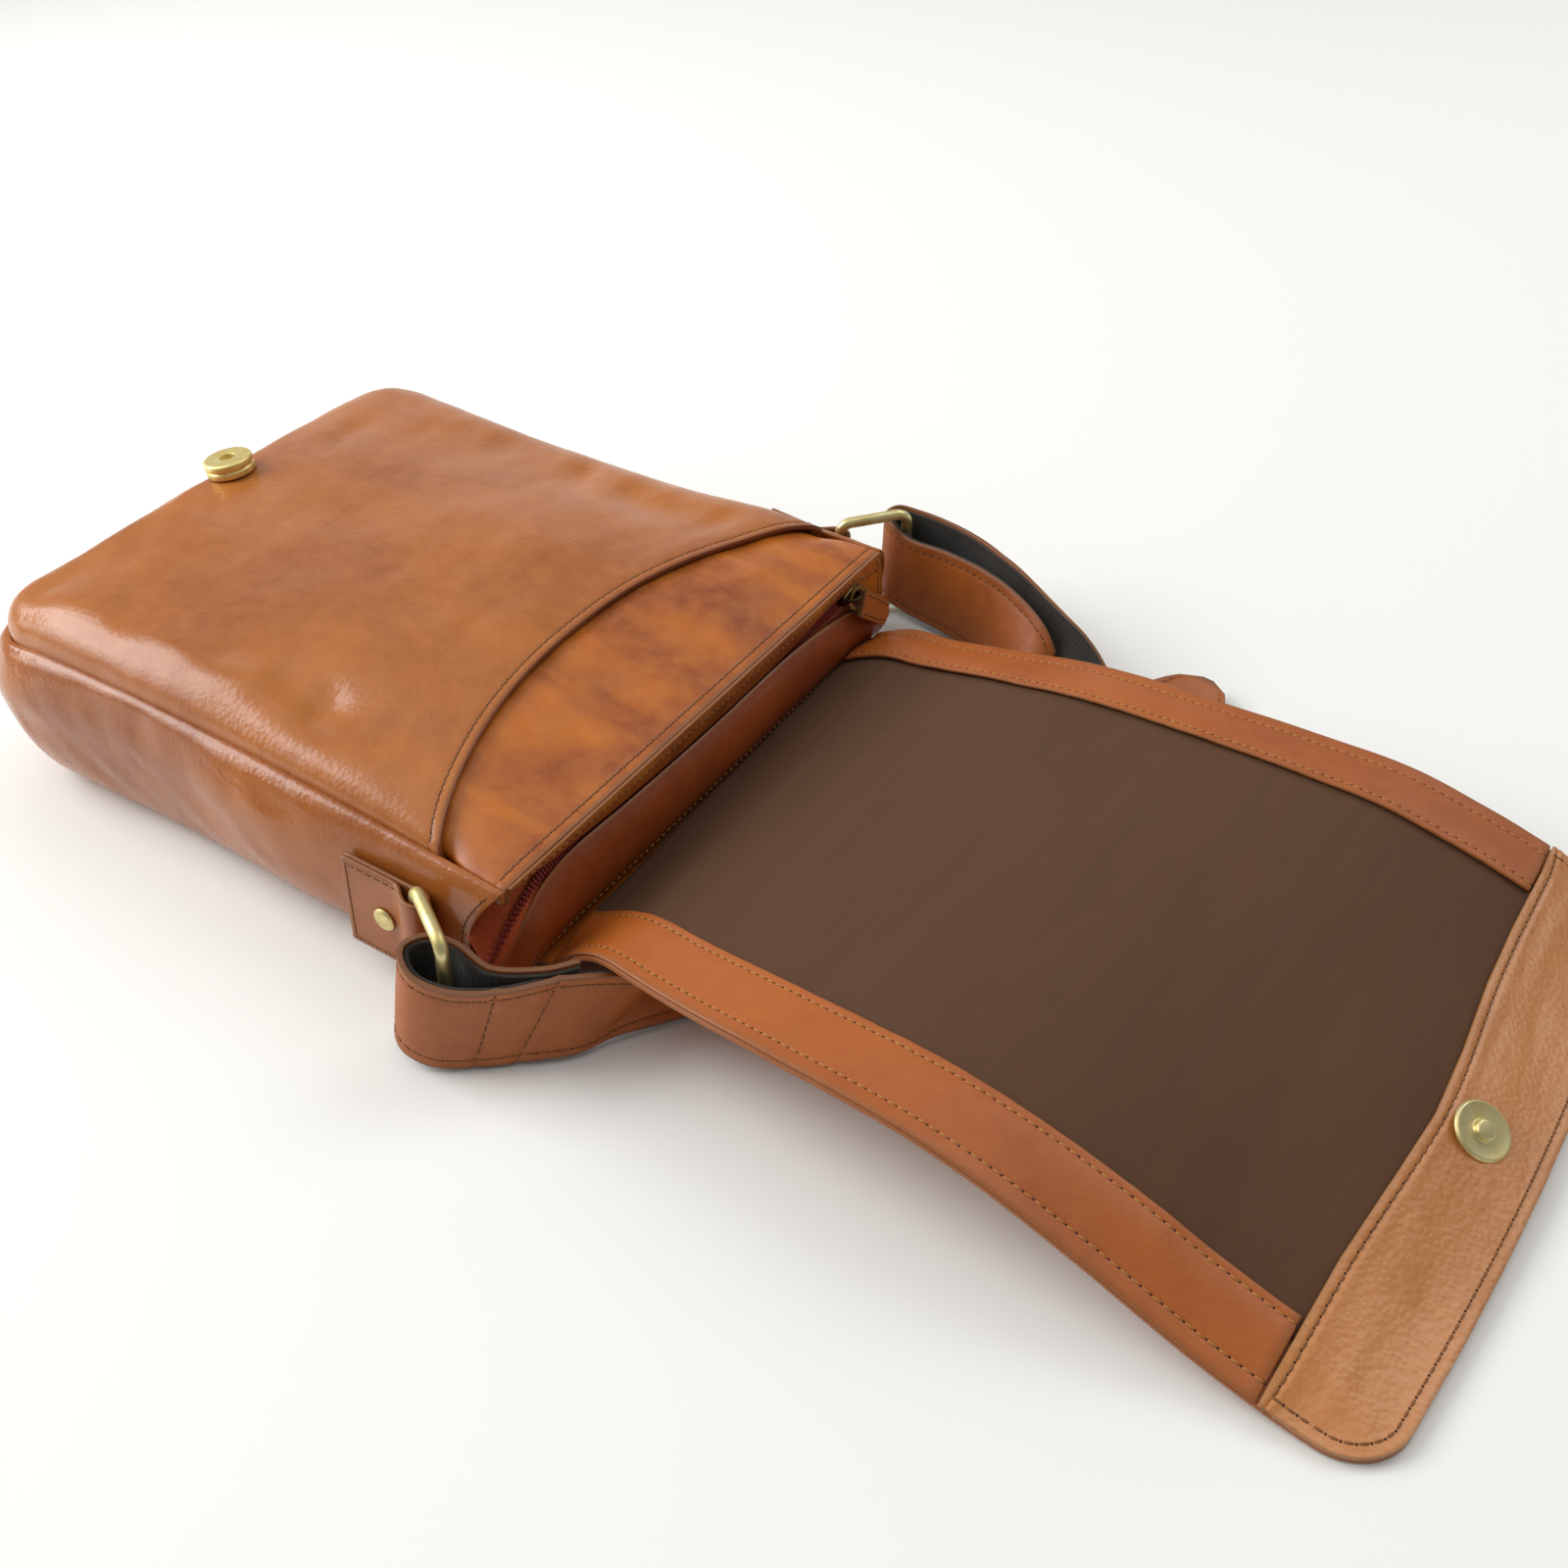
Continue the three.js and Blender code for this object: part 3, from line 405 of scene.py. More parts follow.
@dataclass(frozen=True)
class Cloth(Finish):
    """Plain-woven cloth: crossing threads, a little slub and a dull face.

    Attributes:
        colour: The threads that lie on top.
        shade: The gaps between them.
        thread_mm: Spacing of the threads, drawn coarser than real ones, which are too fine to show.
        depth_mm: Depth of the weave.
        roughness: How dull the face is.
        sheen: How much fuzz lights up at its rim.
    """

    colour: str
    shade: str
    thread_mm: float
    depth_mm: float
    roughness: float = 0.9
    sheen: float = 0.2

    def make(self) -> bpy.types.Material:
        """Makes the cloth: two crossed sets of threads on the piece's own UV, over slubbed dye.

        Returns:
            The material.
        """
        material, tree, shader = self.shader()
        coords = add_node(tree, "TexCoord")
        # A wave texture has 20 radians in each unit
        spacing = per_mm(self.thread_mm) * 2 * math.pi / 20
        threads = {"Vector": coords.outputs["UV"], "Scale": spacing, "Distortion": 1.2}
        threads |= {"Detail": 1.0, "Detail Scale": 2.0}
        waves = [add_node(tree, "TexWave", threads, bands_direction=way, wave_profile="SIN") for way in "XY"]
        crossed = {0: waves[0].outputs[1], 1: waves[1].outputs[1]}
        weave = add_node(tree, "Math", crossed, operation="MAXIMUM")
        slubs = {"Vector": coords.outputs["UV"], "Scale": (1.0, 0.14, 1.0)}
        slub = add_node(tree, "Mapping", slubs)
        patches = {"Vector": slub.outputs[0], "Scale": per_mm(9.0), "Detail": 5.0, "Roughness": 0.6}
        clouds = add_node(tree, "TexNoise", patches)
        worked = {0: weave.outputs[0], 1: clouds.outputs[0]}
        share = add_node(tree, "Math", worked, operation="MULTIPLY")
        dyes = {FACTOR: share.outputs[0], MIX_A: linear(self.shade), MIX_B: linear(self.colour)}
        dye = add_node(tree, "Mix", dyes, data_type="RGBA")
        raised = {"Strength": 0.8, "Distance": self.depth_mm * MM, "Height": weave.outputs[0]}
        bump = add_node(tree, "Bump", raised)
        surface = {"Base Color": dye.outputs[MIX_OUT], "Normal": bump.outputs[0]}
        fill(shader, {**surface, "Roughness": self.roughness, "Sheen Weight": self.sheen})
        return material


@dataclass(frozen=True)
class Metal(Finish):
    """Cast and plated brass: a soft shine with cloudy tarnish.

    Attributes:
        bright: The plate where it is rubbed.
        tarnish: The plate elsewhere.
        roughness: Roughness of the glossiest and the dullest patches.
    """

    bright: str
    tarnish: str
    roughness: Tuple[float, float] = (0.22, 0.42)

    def make(self) -> bpy.types.Material:
        """Makes the metal: cloudy tarnish over bright plate, with a faint cast bump.

        Returns:
            The material.
        """
        material, tree, shader = self.shader()
        place = add_node(tree, "TexCoord").outputs["Object"]
        patches = {"Vector": place, "Scale": per_mm(5.0), "Detail": 6.0}
        clouds = add_node(tree, "TexNoise", patches)
        cloud_span = {VALUE: clouds.outputs[0], FROM_LOW: 0.35, FROM_HIGH: 0.62, TO_LOW: 0.0, TO_HIGH: 1.0}
        share = add_node(tree, "MapRange", cloud_span)
        plating = {FACTOR: share.outputs[0], MIX_A: linear(self.tarnish), MIX_B: linear(self.bright)}
        plate = add_node(tree, "Mix", plating, data_type="RGBA")
        glossy, dull = self.roughness
        shine_span = {VALUE: clouds.outputs[0], FROM_LOW: 0.35, FROM_HIGH: 0.65}
        shine = add_node(tree, "MapRange", {**shine_span, TO_LOW: dull, TO_HIGH: glossy})
        raised = {"Strength": 0.1, "Distance": 0.03 * MM, "Height": clouds.outputs[0]}
        bump = add_node(tree, "Bump", raised)
        surface = {"Base Color": plate.outputs[MIX_OUT], "Roughness": shine.outputs[0]}
        fill(shader, {**surface, "Normal": bump.outputs[0], "Metallic": 1.0})
        return material


@dataclass(frozen=True)
class Fibre(Finish):
    """Twisted thread or moulded nylon: one dye that varies a little along its length.

    Attributes:
        colour: The lighter tone.
        shade: The darker tone.
        roughness: How dull it is.
        grain_mm: Size of the flecks.
    """

    colour: str
    shade: str
    roughness: float = 0.7
    grain_mm: float = 0.9

    def make(self) -> bpy.types.Material:
        """Makes the fibre: two close tones in small flecks.

        Returns:
            The material.
        """
        material, tree, shader = self.shader()
        place = add_node(tree, "TexCoord").outputs["Object"]
        twists = {"Vector": place, "Scale": per_mm(self.grain_mm), "Detail": 2.0}
        flecks = add_node(tree, "TexNoise", twists)
        dyes = {FACTOR: flecks.outputs[0], MIX_A: linear(self.shade), MIX_B: linear(self.colour)}
        dye = add_node(tree, "Mix", dyes, data_type="RGBA")
        raised = {"Strength": 0.4, "Distance": 0.05 * MM, "Height": flecks.outputs[0]}
        bump = add_node(tree, "Bump", raised)
        surface = {"Base Color": dye.outputs[MIX_OUT], "Normal": bump.outputs[0]}
        fill(shader, {**surface, "Roughness": self.roughness})
        return material


# Cowhide dyed cognac by hand, so it is cloudy, and waxed, so that it shines on every swell
FRONT_HIDE = Leather(
    "cognac_cowhide_front", "#9C541E", "#B66B2C", "#C07A3C", "#7A4220",
    grain_depth_mm=0.15, crease_depth_mm=1.0, shine=(0.25, 0.38),
)
# The same hide pulled over the top edge, which leaves dark streaks in the dye
UPPER_HIDE = Leather(
    "cognac_cowhide_upper", "#8C3E0C", "#C26A1E", "#CE8030", "#8A5226",
    mottle_mm=26.0, drawn=(0.5, 1.0, 1.0), crease_depth_mm=0.4,
)
# The same hide round the sides, handled most: deeply creased and the shiniest; its near-black rim is painted
# shade in the seam grooves
GUSSET_HIDE = Leather(
    "cognac_cowhide_gusset", "#8E4A1C", "#AC6228", "#B87236", "#4A2410",
    grain_depth_mm=0.15, crease_depth_mm=1.1, shine=(0.19, 0.32),
)
# Short pieces of the same hide, smooth and a little dull
TAB_HIDE = Leather("cognac_cowhide_tab", "#8E4C20", "#A66030", "#B4703C", "#8A5226", shine=(0.34, 0.5))
# Cowhide dyed redder along the zip, with a low gloss; its dye is set darker, partly as painted shade between
# the lips
LIP_HIDE = Leather("red_brown_cowhide_lip", "#7A3010", "#98461A", "#A85824", "#A8672F", shine=(0.26, 0.42))
# Cowhide that is waxed little on the flap: an even orange brown with a dull face
FLAP_HIDE = Leather("cognac_cowhide_flap", "#9E4E14", "#B25C1A", "#BA6A26", "#9A5826", shine=(0.42, 0.58))
# Paler cowhide with a coarse pebble, which breaks its shine into small glints
HEM_HIDE = Leather(
    "pebbled_cowhide_hem", "#B06C34", "#C58046", "#D29458", "#A8703C",
    crease_mm=3.2, grain_mm=1.5, grain_depth_mm=0.2, crease_depth_mm=0.5, shine=(0.28, 0.4),
)
# Stiff strap hide, smooth and nearly matt
STRAP_HIDE = Leather("cognac_cowhide_strap", "#924812", "#AE5C1E", "#BA6C28", "#7A4A26", shine=(0.45, 0.6))
# Brown polyester lining, flat and dark, whose threads are drawn four times coarser than they are
LINING = Cloth(
    "brown_polyester_lining", "#624024", "#50321C", thread_mm=0.8, depth_mm=0.03, roughness=0.85, sheen=0.0
)
# Coarse cotton canvas inside the strap, almost black, with threads that can be seen
CANVAS = Cloth("dark_cotton_canvas", "#342C24", "#1E1913", thread_mm=1.6, depth_mm=0.2, roughness=0.97)
# Woven polyester tape, a warm rust line between the lips, its dye set brighter as painted light where the
# lips shade it
ZIP_CLOTH = Cloth("rust_zip_tape", "#E87438", "#BC5424", thread_mm=1.1, depth_mm=0.2)
# Nylon coil, moulded smooth, so that each loop has a small glint; its wine red is set brighter as painted
# light where the lips shade it
ZIP_NYLON = Fibre("wine_nylon_coil", "#A8443C", "#742426", roughness=0.22)
# Waxed thread close to the leather's colour, which reads as quiet dashes
DARK_THREAD = Fibre("dark_brown_waxed_thread", "#96602E", "#724520")
# Paler waxed thread, which reads as a row of light dots
TAN_THREAD = Fibre("tan_waxed_thread", "#C8924F", "#9C6430")
# Painted shadow of each needle hole, where the leather is pressed in: a dark dot after each stitch
NEEDLE_HOLE_SHADE = Fibre("needle_hole_shadow", "#4A2A16", "#3A1E0E", roughness=0.95)
# Aged brass, pale yellow with a broad soft shine
PALE_BRASS = Metal("pale_aged_brass", "#E6D9A2", "#CDBB7C", roughness=(0.35, 0.5))
# Brass of the snap, yellower and duller
SNAP_BRASS = Metal("yellow_brass_snap", "#F2E09A", "#D8BE72", roughness=(0.42, 0.55))
# Blackened brass, nearly black with a brown glint
DARK_BRASS = Metal("blackened_brass_slider", "#5A4A30", "#2A2218", roughness=(0.25, 0.45))


# Meshes


def add_object(name: str, data: bpy.types.ID) -> bpy.types.Object:
    """Adds an object to the scene.

    Args:
        name: The object's name.
        data: Its mesh, light or camera.

    Returns:
        The new object.
    """
    thing = bpy.data.objects.new(name, data)
    bpy.context.scene.collection.objects.link(thing)
    return thing


def add_piece(
    name: str,
    mesh: bmesh.types.BMesh,
    finishes: Sequence[Finish],
    slot: str,
    nodes: Sequence[str] = (),
) -> bpy.types.Object:
    """Makes an object of a finished bmesh, dresses it and sets it on the frame.

    Args:
        name: The piece's name.
        mesh: The bmesh, already in the frame's metres. It is freed.
        finishes: One finish for each material number in the mesh.
        slot: The record's material slot. Not used.
        nodes: CAD nodes that the piece stands for.

    Returns:
        The new object.
    """
    data = bpy.data.meshes.new(name)
    mesh.to_mesh(data)
    mesh.free()
    data.shade_smooth()
    piece = add_object(name, data)
    for finish in finishes:
        data.materials.append(finish.material())
    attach(piece, BODY)
    if nodes:
        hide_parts(*nodes)
    LOG.info("built %s with %d faces", name, len(data.polygons))
    return piece


def soften(piece: bpy.types.Object, width_mm: float, angle: float) -> None:
    """Rounds a piece's sharp edges.

    Args:
        piece: The piece.
        width_mm: Width of the rounding.
        angle: Edges sharper than this many degrees are rounded.
    """
    edge = piece.modifiers.new("edge", "BEVEL")
    edge.width = width_mm * MM
    edge.segments = 2
    edge.limit_method = "ANGLE"
    edge.angle_limit = math.radians(angle)


@dataclass
class Sheet:
    """A sheet of leather or cloth: a grid bent over a face, given thickness and rounded edges.

    Attributes:
        name: The piece's name.
        face: The sheet's middle, by its stations along and across.
        along: Stations along the sheet.
        across: Stations across it.
        thickness: Its thickness.
        finish: Its leather or cloth.
        slot: The record's material slot.
        rim_ends: Whether the rim also goes round the two ends.
        rounding: Rounding of the edges, as a share of the thickness.
    """

    name: str
    face: Face
    along: Sequence[float]
    across: Sequence[float]
    thickness: float
    finish: Finish
    slot: str
    rim_ends: bool = True
    rounding: float = 0.4

    def dress(self, node: str, relief: Optional[Relief] = None, rim_mm: float = 0.0) -> bpy.types.Object:
        """Bends the grid, presses the relief into it and finishes its edges.

        Args:
            node: The CAD node that the sheet stands for.
            relief: How far the surface stands out of the face at each place.
            rim_mm: Width of the rim colour (a dyed edge, and on the gusset painted seam shade), or 0 for
                none.

        Returns:
            The sheet's object.
        """
        rows, columns = len(self.along) - 1, len(self.across) - 1
        mesh = bmesh.new()
        uv_layer = mesh.loops.layers.uv.new("UVMap")
        rim_layer = mesh.verts.layers.float.new("rim")
        bmesh.ops.create_grid(mesh, x_segments=rows, y_segments=columns, size=0.5)
        length = walked([self.face(a, self.across[columns // 2]) for a in self.along])
        width = walked([self.face(self.along[rows // 2], b) for b in self.across])
        places: Dict[bmesh.types.BMVert, Tuple[int, int]] = {}
        for vert in mesh.verts:
            i, j = round((vert.co.x + 0.5) * rows), round((vert.co.y + 0.5) * columns)
            places[vert] = (i, j)
            vert.co = self.face(self.along[i], self.across[j])
            if rim_mm:
                inset = min(width[j], width[-1] - width[j])
                if self.rim_ends:
                    inset = min(inset, length[i], length[-1] - length[i])
                vert[rim_layer] = 1 - ease(0.0, rim_mm, inset)
        mesh.normal_update()
        if relief:
            moves = [v.normal * relief(self.along[i], self.across[j], v.co) for v, (i, j) in places.items()]
            for vert, move in zip(places, moves):
                vert.co += move
        for patch in mesh.faces:
            for loop in patch.loops:
                i, j = places[loop.vert]
                loop[uv_layer].uv = (length[i] * MM, width[j] * MM)
        for vert in mesh.verts:
            vert.co = to_frame(vert.co)
        piece = add_piece(self.name, mesh, [self.finish], self.slot, [node])
        wall = piece.modifiers.new("wall", "SOLIDIFY")
        wall.thickness = self.thickness * MM
        wall.offset = 0.0
        wall.use_even_offset = False
        soften(piece, self.rounding * self.thickness, 55)
        return piece


@dataclass(frozen=True)
class Stitching:
    """A row of lock stitches, with a dark dot of painted shadow at each needle hole.

    Attributes:
        pitch: From one stitch to the next.
        length: Length of a stitch.
        width: Width of a stitch.
        height: Thickness of a stitch, half of it above the leather.
        hole: Radius of a needle hole.
        hole_height: Half the thickness of the hole's dark dot, a painted shadow.
        reach: How far from its line a row looks for the leather.
    """

    pitch: float = 3.4
    length: float = 2.7
    width: float = 0.85
    height: float = 0.7
    hole: float = 0.42
    hole_height: float = 0.18
    reach: float = 5.0

    def sew(
        self,
        name: str,
        host: bpy.types.Object,
        paths: Sequence[Sequence[Vector]],
        out: Vector,
        thread: Finish,
        slot: str,
    ) -> bpy.types.Object:
        """Sews rows of stitches on a piece.

        Args:
            name: The stitching's name.
            host: The piece that is sewn.
            paths: The rows, each a list of points on or near the piece, in millimetres.
            out: The side of the piece that is sewn, as a direction.
            thread: The thread's finish.
            slot: The record's material slot of the piece.

        Returns:
            The stitching's object.
        """
        tree = BVHTree.FromObject(host, bpy.context.evaluated_depsgraph_get())
        mesh = bmesh.new()
        for path in paths:
            for point, run in self.spread([to_frame(p) for p in path]):
                self.add_stitch(mesh, tree, point, run, out)
        return add_piece(name, mesh, [thread, NEEDLE_HOLE_SHADE], slot)

    def spread(self, path: Sequence[Vector]) -> List[Tuple[Vector, Vector]]:
        """Spreads stitches evenly along a path.

        Args:
            path: Points in the frame's metres.

        Returns:
            Each stitch's middle and direction.
        """
        lengths = walked(path)
        count = max(1, int(lengths[-1] / (self.pitch * MM)))
        found = []
        k = 0
        for n in range(count):
            at = lengths[-1] * (n + 0.5) / count
            while k < len(path) - 2 and lengths[k + 1] < at:
                k += 1
            share = (at - lengths[k]) / max(lengths[k + 1] - lengths[k], 1e-9)
            found.append((path[k].lerp(path[k + 1], share), (path[k + 1] - path[k]).normalized()))
        return found

    def add_stitch(
        self, mesh: bmesh.types.BMesh, tree: BVHTree, point: Vector, run: Vector, out: Vector
    ) -> None:
        """Adds one stitch, lying along its row on the leather, and the needle hole's painted shadow after it.

        Args:
            mesh: The stitching's bmesh.
            tree: The leather's faces.
            point: The stitch's place, on or near the leather.
            run: The row's direction there.
            out: The side of the leather that is sewn, as a direction.
        """
        seat, normal, _, _ = tree.ray_cast(point + out * self.reach * MM, -out, 3 * self.reach * MM)
        if seat is None:
            seat, normal, _, _ = tree.find_nearest(point, self.reach * MM)
        if seat is None:
            return
        if normal.dot(out) < 0:
            normal = -normal
        run = (run - normal * run.dot(normal)).normalized()
        turn = Matrix((run, normal.cross(run), normal)).transposed().to_4x4()
        size = Matrix.Diagonal((self.length / 2 * MM, self.width / 2 * MM, self.height / 2 * MM, 1.0))
        bmesh.ops.create_uvsphere(
            mesh, u_segments=6, v_segments=5, radius=1.0, matrix=Matrix.Translation(seat) @ turn @ size
        )
        # The needle hole's painted shadow: a flattened dark dot just past the stitch
        dot = Matrix.Diagonal((self.hole * MM, self.hole * MM, self.hole_height * MM, 1.0))
        spot = Matrix.Translation(seat + run * self.pitch / 2 * MM)
        made = bmesh.ops.create_icosphere(mesh, subdivisions=1, radius=1.0, matrix=spot @ turn @ dot)
        for patch in {patch for vert in made["verts"] for patch in vert.link_faces}:
            patch.material_index = 1


FINE_STITCH = Stitching(pitch=3.0, length=2.3)


def lathe(
    name: str,
    outline: Sequence[Tuple[float, float]],
    spot: Vector,
    axis: Vector,
    finish: Finish,
    node: str,
    steps: int = 40,
) -> bpy.types.Object:
    """Turns a half outline into a round piece of metal.

    Args:
        name: The piece's name.
        outline: Radius and height of the half outline's corners, in millimetres.
        spot: Where its base sits.
        axis: Which way it stands.
        finish: Its metal.
        node: The CAD node that it stands for.
        steps: Steps round it.

    Returns:
        The turned piece.
    """
    mesh = bmesh.new()
    corners = [mesh.verts.new(Vector((r, 0.0, z)) * MM) for r, z in outline]
    edges = [mesh.edges.new(pair) for pair in zip(corners, corners[1:])]
    bmesh.ops.spin(
        mesh, geom=corners + edges, cent=Vector(), axis=UP, angle=2 * math.pi, steps=steps, use_merge=True
    )
    bmesh.ops.remove_doubles(mesh, verts=mesh.verts, dist=MERGE)
    bmesh.ops.recalc_face_normals(mesh, faces=mesh.faces)
    stand = UP.rotation_difference(axis).to_matrix().to_4x4()
    bmesh.ops.transform(mesh, matrix=Matrix.Translation(to_frame(spot)) @ stand, verts=mesh.verts)
    piece = add_piece(name, mesh, [finish], "aged_brass", [node])
    soften(piece, 0.15, 25)
    return piece


# Sub-assemblies

# Along the front: the seam's height, the panel's swell, the gusset's bulge and the far side's sag
FRONT_SECTIONS: List[Row] = table(
    "x seam swell bulge sag",
    (-256, 60, 16, 9, 0),
    (-215, 63, 14, 8, 6.5),
    (-150, 62, 12, 7, 11),
    (-85, 58, 9.5, 10.5, 9),
    (-45, 54, 7, 7.5, 3),
    (0, 49, 0.6, 6, 0),
)
# Dents in the front, and where their depth is above 0, swells
DENTS: List[Row] = table(
    "x y reach_x reach_y depth",
    (-92, -84, 26, 13, -3.5),
    (-130, -92, 30, 12, 1.8),
    (-236, -66, 18, 34, -4),
    (-165, 20, 45, 40, -2.2),
    (-75, 78, 24, 14, -2.6),
    (-26, -30, 10, 34, -1.6),
    (-24, 52, 9, 24, 1.4),
)
# Distances from a panel's rim, down its turned-in edge and up its rounding
RIM = (-4.5, -3.0, -1.5, -0.6, 0.0, 0.15, 0.6, 1.3, 2.4, 3.8, 5.6, 7.8, 10.4, 13.4)
# Where a panel's even stations start, inside its rim
INSIDE_RIM = 14.5
BACK_RIM = tuple(distance for distance in RIM if distance > -4)


@dataclass
class BagBody:
    """The body: pocket, front panel, gusset and back panel, turned in at their seams."""

    length: float = 255.0
    width: float = 210.0
    corner: float = 24.0
    leather: float = 1.6
    inset: float = 0.2
    layer: float = 2.8
    rounding: float = 17.0
    back_rounding: float = 10.0
    back_lift: float = 4.5
    back_end: float = -9.0
    back_rise: float = 5.5
    bottom_bulge: float = 11.0
    sag_from: float = 15.0
    seam_offset: float = 1.1
    near_recess: float = 16.5
    far_recess: float = 7.0
    pocket_centre: float = -54.0
    pocket_dip: float = 29.0
    pocket_row: float = 3.4
    pocket_nominal: float = 200.0
    panel_row: float = 3.6
    panel_fine_from: float = -90.0
    gusset_row: float = 3.0
    groove: float = 0.7
    seam: Column = column(FRONT_SECTIONS, "x", "seam")
    swell: Column = column(FRONT_SECTIONS, "x", "swell")
    bulge: Column = column(FRONT_SECTIONS, "x", "bulge")
    sag: Column = column(FRONT_SECTIONS, "x", "sag")

    def seam_height(self, x: float, y: float) -> float:
        """Returns the height of the front seam, which sags towards the far side."""
        return self.seam(x) - self.sag(x) * ease(self.sag_from, self.width / 2, y)

    def half_width(self, x: float, inset: float) -> float:
        """Measures a panel across, with its rounded bottom corners.

        Args:
            x: Place along the bag.
            inset: How far the panel's rim lies inside the bag's outline.

        Returns:
            Half the panel's width there.
        """
        straight = self.width / 2 - inset
        into = self.corner - (x + self.length - inset)
        if into <= 0:
            return straight
        return straight - self.corner + math.sqrt(max(self.corner**2 - into**2, 0.0))

    def from_rim(self, x: float, y: float, inset: float) -> float:
        """Measures from a point of a panel to its sewn rim.

        Args:
            x: Place along the bag.
            y: Place across it.
            inset: How far the panel's rim lies inside the bag's outline.

        Returns:
            The distance.
        """
        low, side = x + self.length - inset, self.width / 2 - inset - abs(y)
        if low < self.corner and side < self.corner:
            return self.corner - math.hypot(self.corner - low, self.corner - side)
        return min(low, side)

    def front_height(self, x: float, y: float, inset: float) -> float:
        """Measures the height of the front's face, with its swell and dents.

        Args:
            x: Place along the bag.
            y: Place across it.
            inset: How far the panel's rim lies inside the bag's outline.

        Returns:
            The height.
        """
        dents = sum(
            d["depth"] * math.exp(-(((x - d["x"]) / d["reach_x"]) ** 2) - ((y - d["y"]) / d["reach_y"]) ** 2)
            for d in DENTS
        )
        rise = round_over(self.from_rim(x, y, inset), self.rounding)
        return self.seam_height(x, y) + (self.swell(x) + dents) * rise

    def pocket_edge(self, y: float) -> float:
        """Returns where the pocket's scooped edge lies at y."""
        return self.pocket_centre + self.pocket_dip * (abs(y) / (self.width / 2)) ** 2.2

    def front_face(self, end: Callable[[float], float], inset: float, nominal: float) -> Face:
        """Makes a face over the front, read by millimetres back from its top edge and across.

        Args:
            end: Where the face's top edge lies at each y.
            inset: How far its rim lies inside the bag's outline.
            nominal: Its length at the middle, which the distance back is scaled from.

        Returns:
            The face.
        """
        half = self.width / 2 - inset

        def face(back: float, across: float) -> Vector:
            """Bends a place of the flat panel over the front.

            Args:
                back: Place back from the top edge, below 0.
                across: Place across, past the half width on the turned-in edge.

            Returns:
                The point.
            """
            over = max(-back - nominal, abs(across) - half, 0.0)
            share = clamp(across / half, -1.0, 1.0)
            top = end(share * half)
            x = lerp(top, -self.length + inset, clamp(-back / nominal))
            y = share * self.half_width(x, inset)
            return Vector((x, y, self.front_height(x, y, inset) - over))

        return face

    def creased(self, point: Vector) -> float:
        """Presses the pocket's slow waves, fine creases and slack folds, none at its rim.

        Args:
            point: A point of the pocket.

        Returns:
            How far the leather stands out there.
        """
        inward = self.from_rim(point.x, point.y, self.inset)
        waves = 1.1 * ripple(point, 52.0) + 0.5 * ripple(point, 21.0, 3.0)
        drawn = Vector((point.x * 1.4 + point.y * 0.5, point.y * 0.6, point.z))
        fine = 0.3 * ripple(drawn, 9.0, 5.0)
        slack = bell(inward - 24.0, 20.0)
        folds = -3.0 * slack * max(ripple(drawn, 20.0, 13.0), 0.0)
        return (waves + fine + folds) * ease(0.0, 14.0, inward)

    def pocket_relief(self, back: float, across: float, point: Vector) -> float:
        """Returns the pocket's creases, which stop at its top edge, and the groove under its stitches."""
        groove = -0.25 * bell(-back - self.pocket_row, self.groove)
        return self.creased(point) * ease(4.0, 18.0, -back) + groove

    def panel_relief(self, back: float, across: float, point: Vector) -> float:
        """Presses the upper front's short pulled creases and the groove along its top edge.

        Args:
            back: Place back from the top edge, below 0.
            across: Place across. Not used.
            point: The point there.

        Returns:
            How far the leather stands out.
        """
        drawn = Vector((point.x * 0.45, point.y * 1.2 + point.x * 0.25, point.z))
        pulls = 0.55 * ripple(drawn, 13.0, 7.0) + 0.25 * ripple(drawn, 6.0, 9.0)
        return pulls * ease(3.0, 9.0, -back) - 0.2 * bell(-back - self.panel_row, self.groove)

    def build(self) -> None:
        """Builds the four leathers and their stitching."""
        self._build_pocket()
        self._build_front()
        self._build_gusset()
        self._build_back()

    def _across(self, half: float, rim: Sequence[float], step: float) -> List[float]:
        """Spreads stations across a panel, close together round its rims.

        Args:
            half: Half the panel's width.
            rim: Distances from its rim.
            step: Spacing inside the rims.

        Returns:
            The stations in rising order.
        """
        sides = [half - distance for distance in rim]
        return sorted([-s for s in sides] + stations(-half + INSIDE_RIM, half - INSIDE_RIM, step) + sides)

    def _build_pocket(self) -> None:
        """Builds the slip pocket with its scooped and stitched edge."""
        half = self.width / 2 - self.inset
        low = [-self.pocket_nominal + distance for distance in RIM]
        rows = [-self.pocket_row, -9.5]
        back = sorted(low + stations(-self.pocket_nominal + INSIDE_RIM, 0.0, 3.4, rows))
        face = self.front_face(self.pocket_edge, self.inset, self.pocket_nominal)
        across = self._across(half, RIM, 3.4)
        pocket = Sheet("pocket_leather", face, back, across, self.leather, FRONT_HIDE, "tan_leather")
        host = pocket.dress("pocket_panel", self.pocket_relief, rim_mm=1.2)
        row = [face(-self.pocket_row, lerp(-half, half, i / 160)) for i in range(161)]
        Stitching().sew("pocket_stitching", host, [row], UP, DARK_THREAD, "tan_leather")

    def _build_front(self) -> None:
        """Builds the panel behind the pocket, which shows above its scooped edge."""
        inset = self.inset + self.layer
        base = self.front_face(lambda y: 0.0, inset, self.length)
        half = self.width / 2 - inset

        def face(back: float, across: float) -> Vector:
            """Sinks the panel under the pocket and widens it at the top edge.

            Args:
                back: Place back from the top edge, below 0.
                across: Place across.

            Returns:
                The point.
            """
            point = base(back, across)
            edge = self.pocket_edge(point.y)
            point.z -= self.layer * (1 - 0.4 * ease(edge - 4, edge + 22, point.x))
            point.y *= 1 + (self.layer / (self.width / 2)) * ease(-26, -14, point.x)
            return point

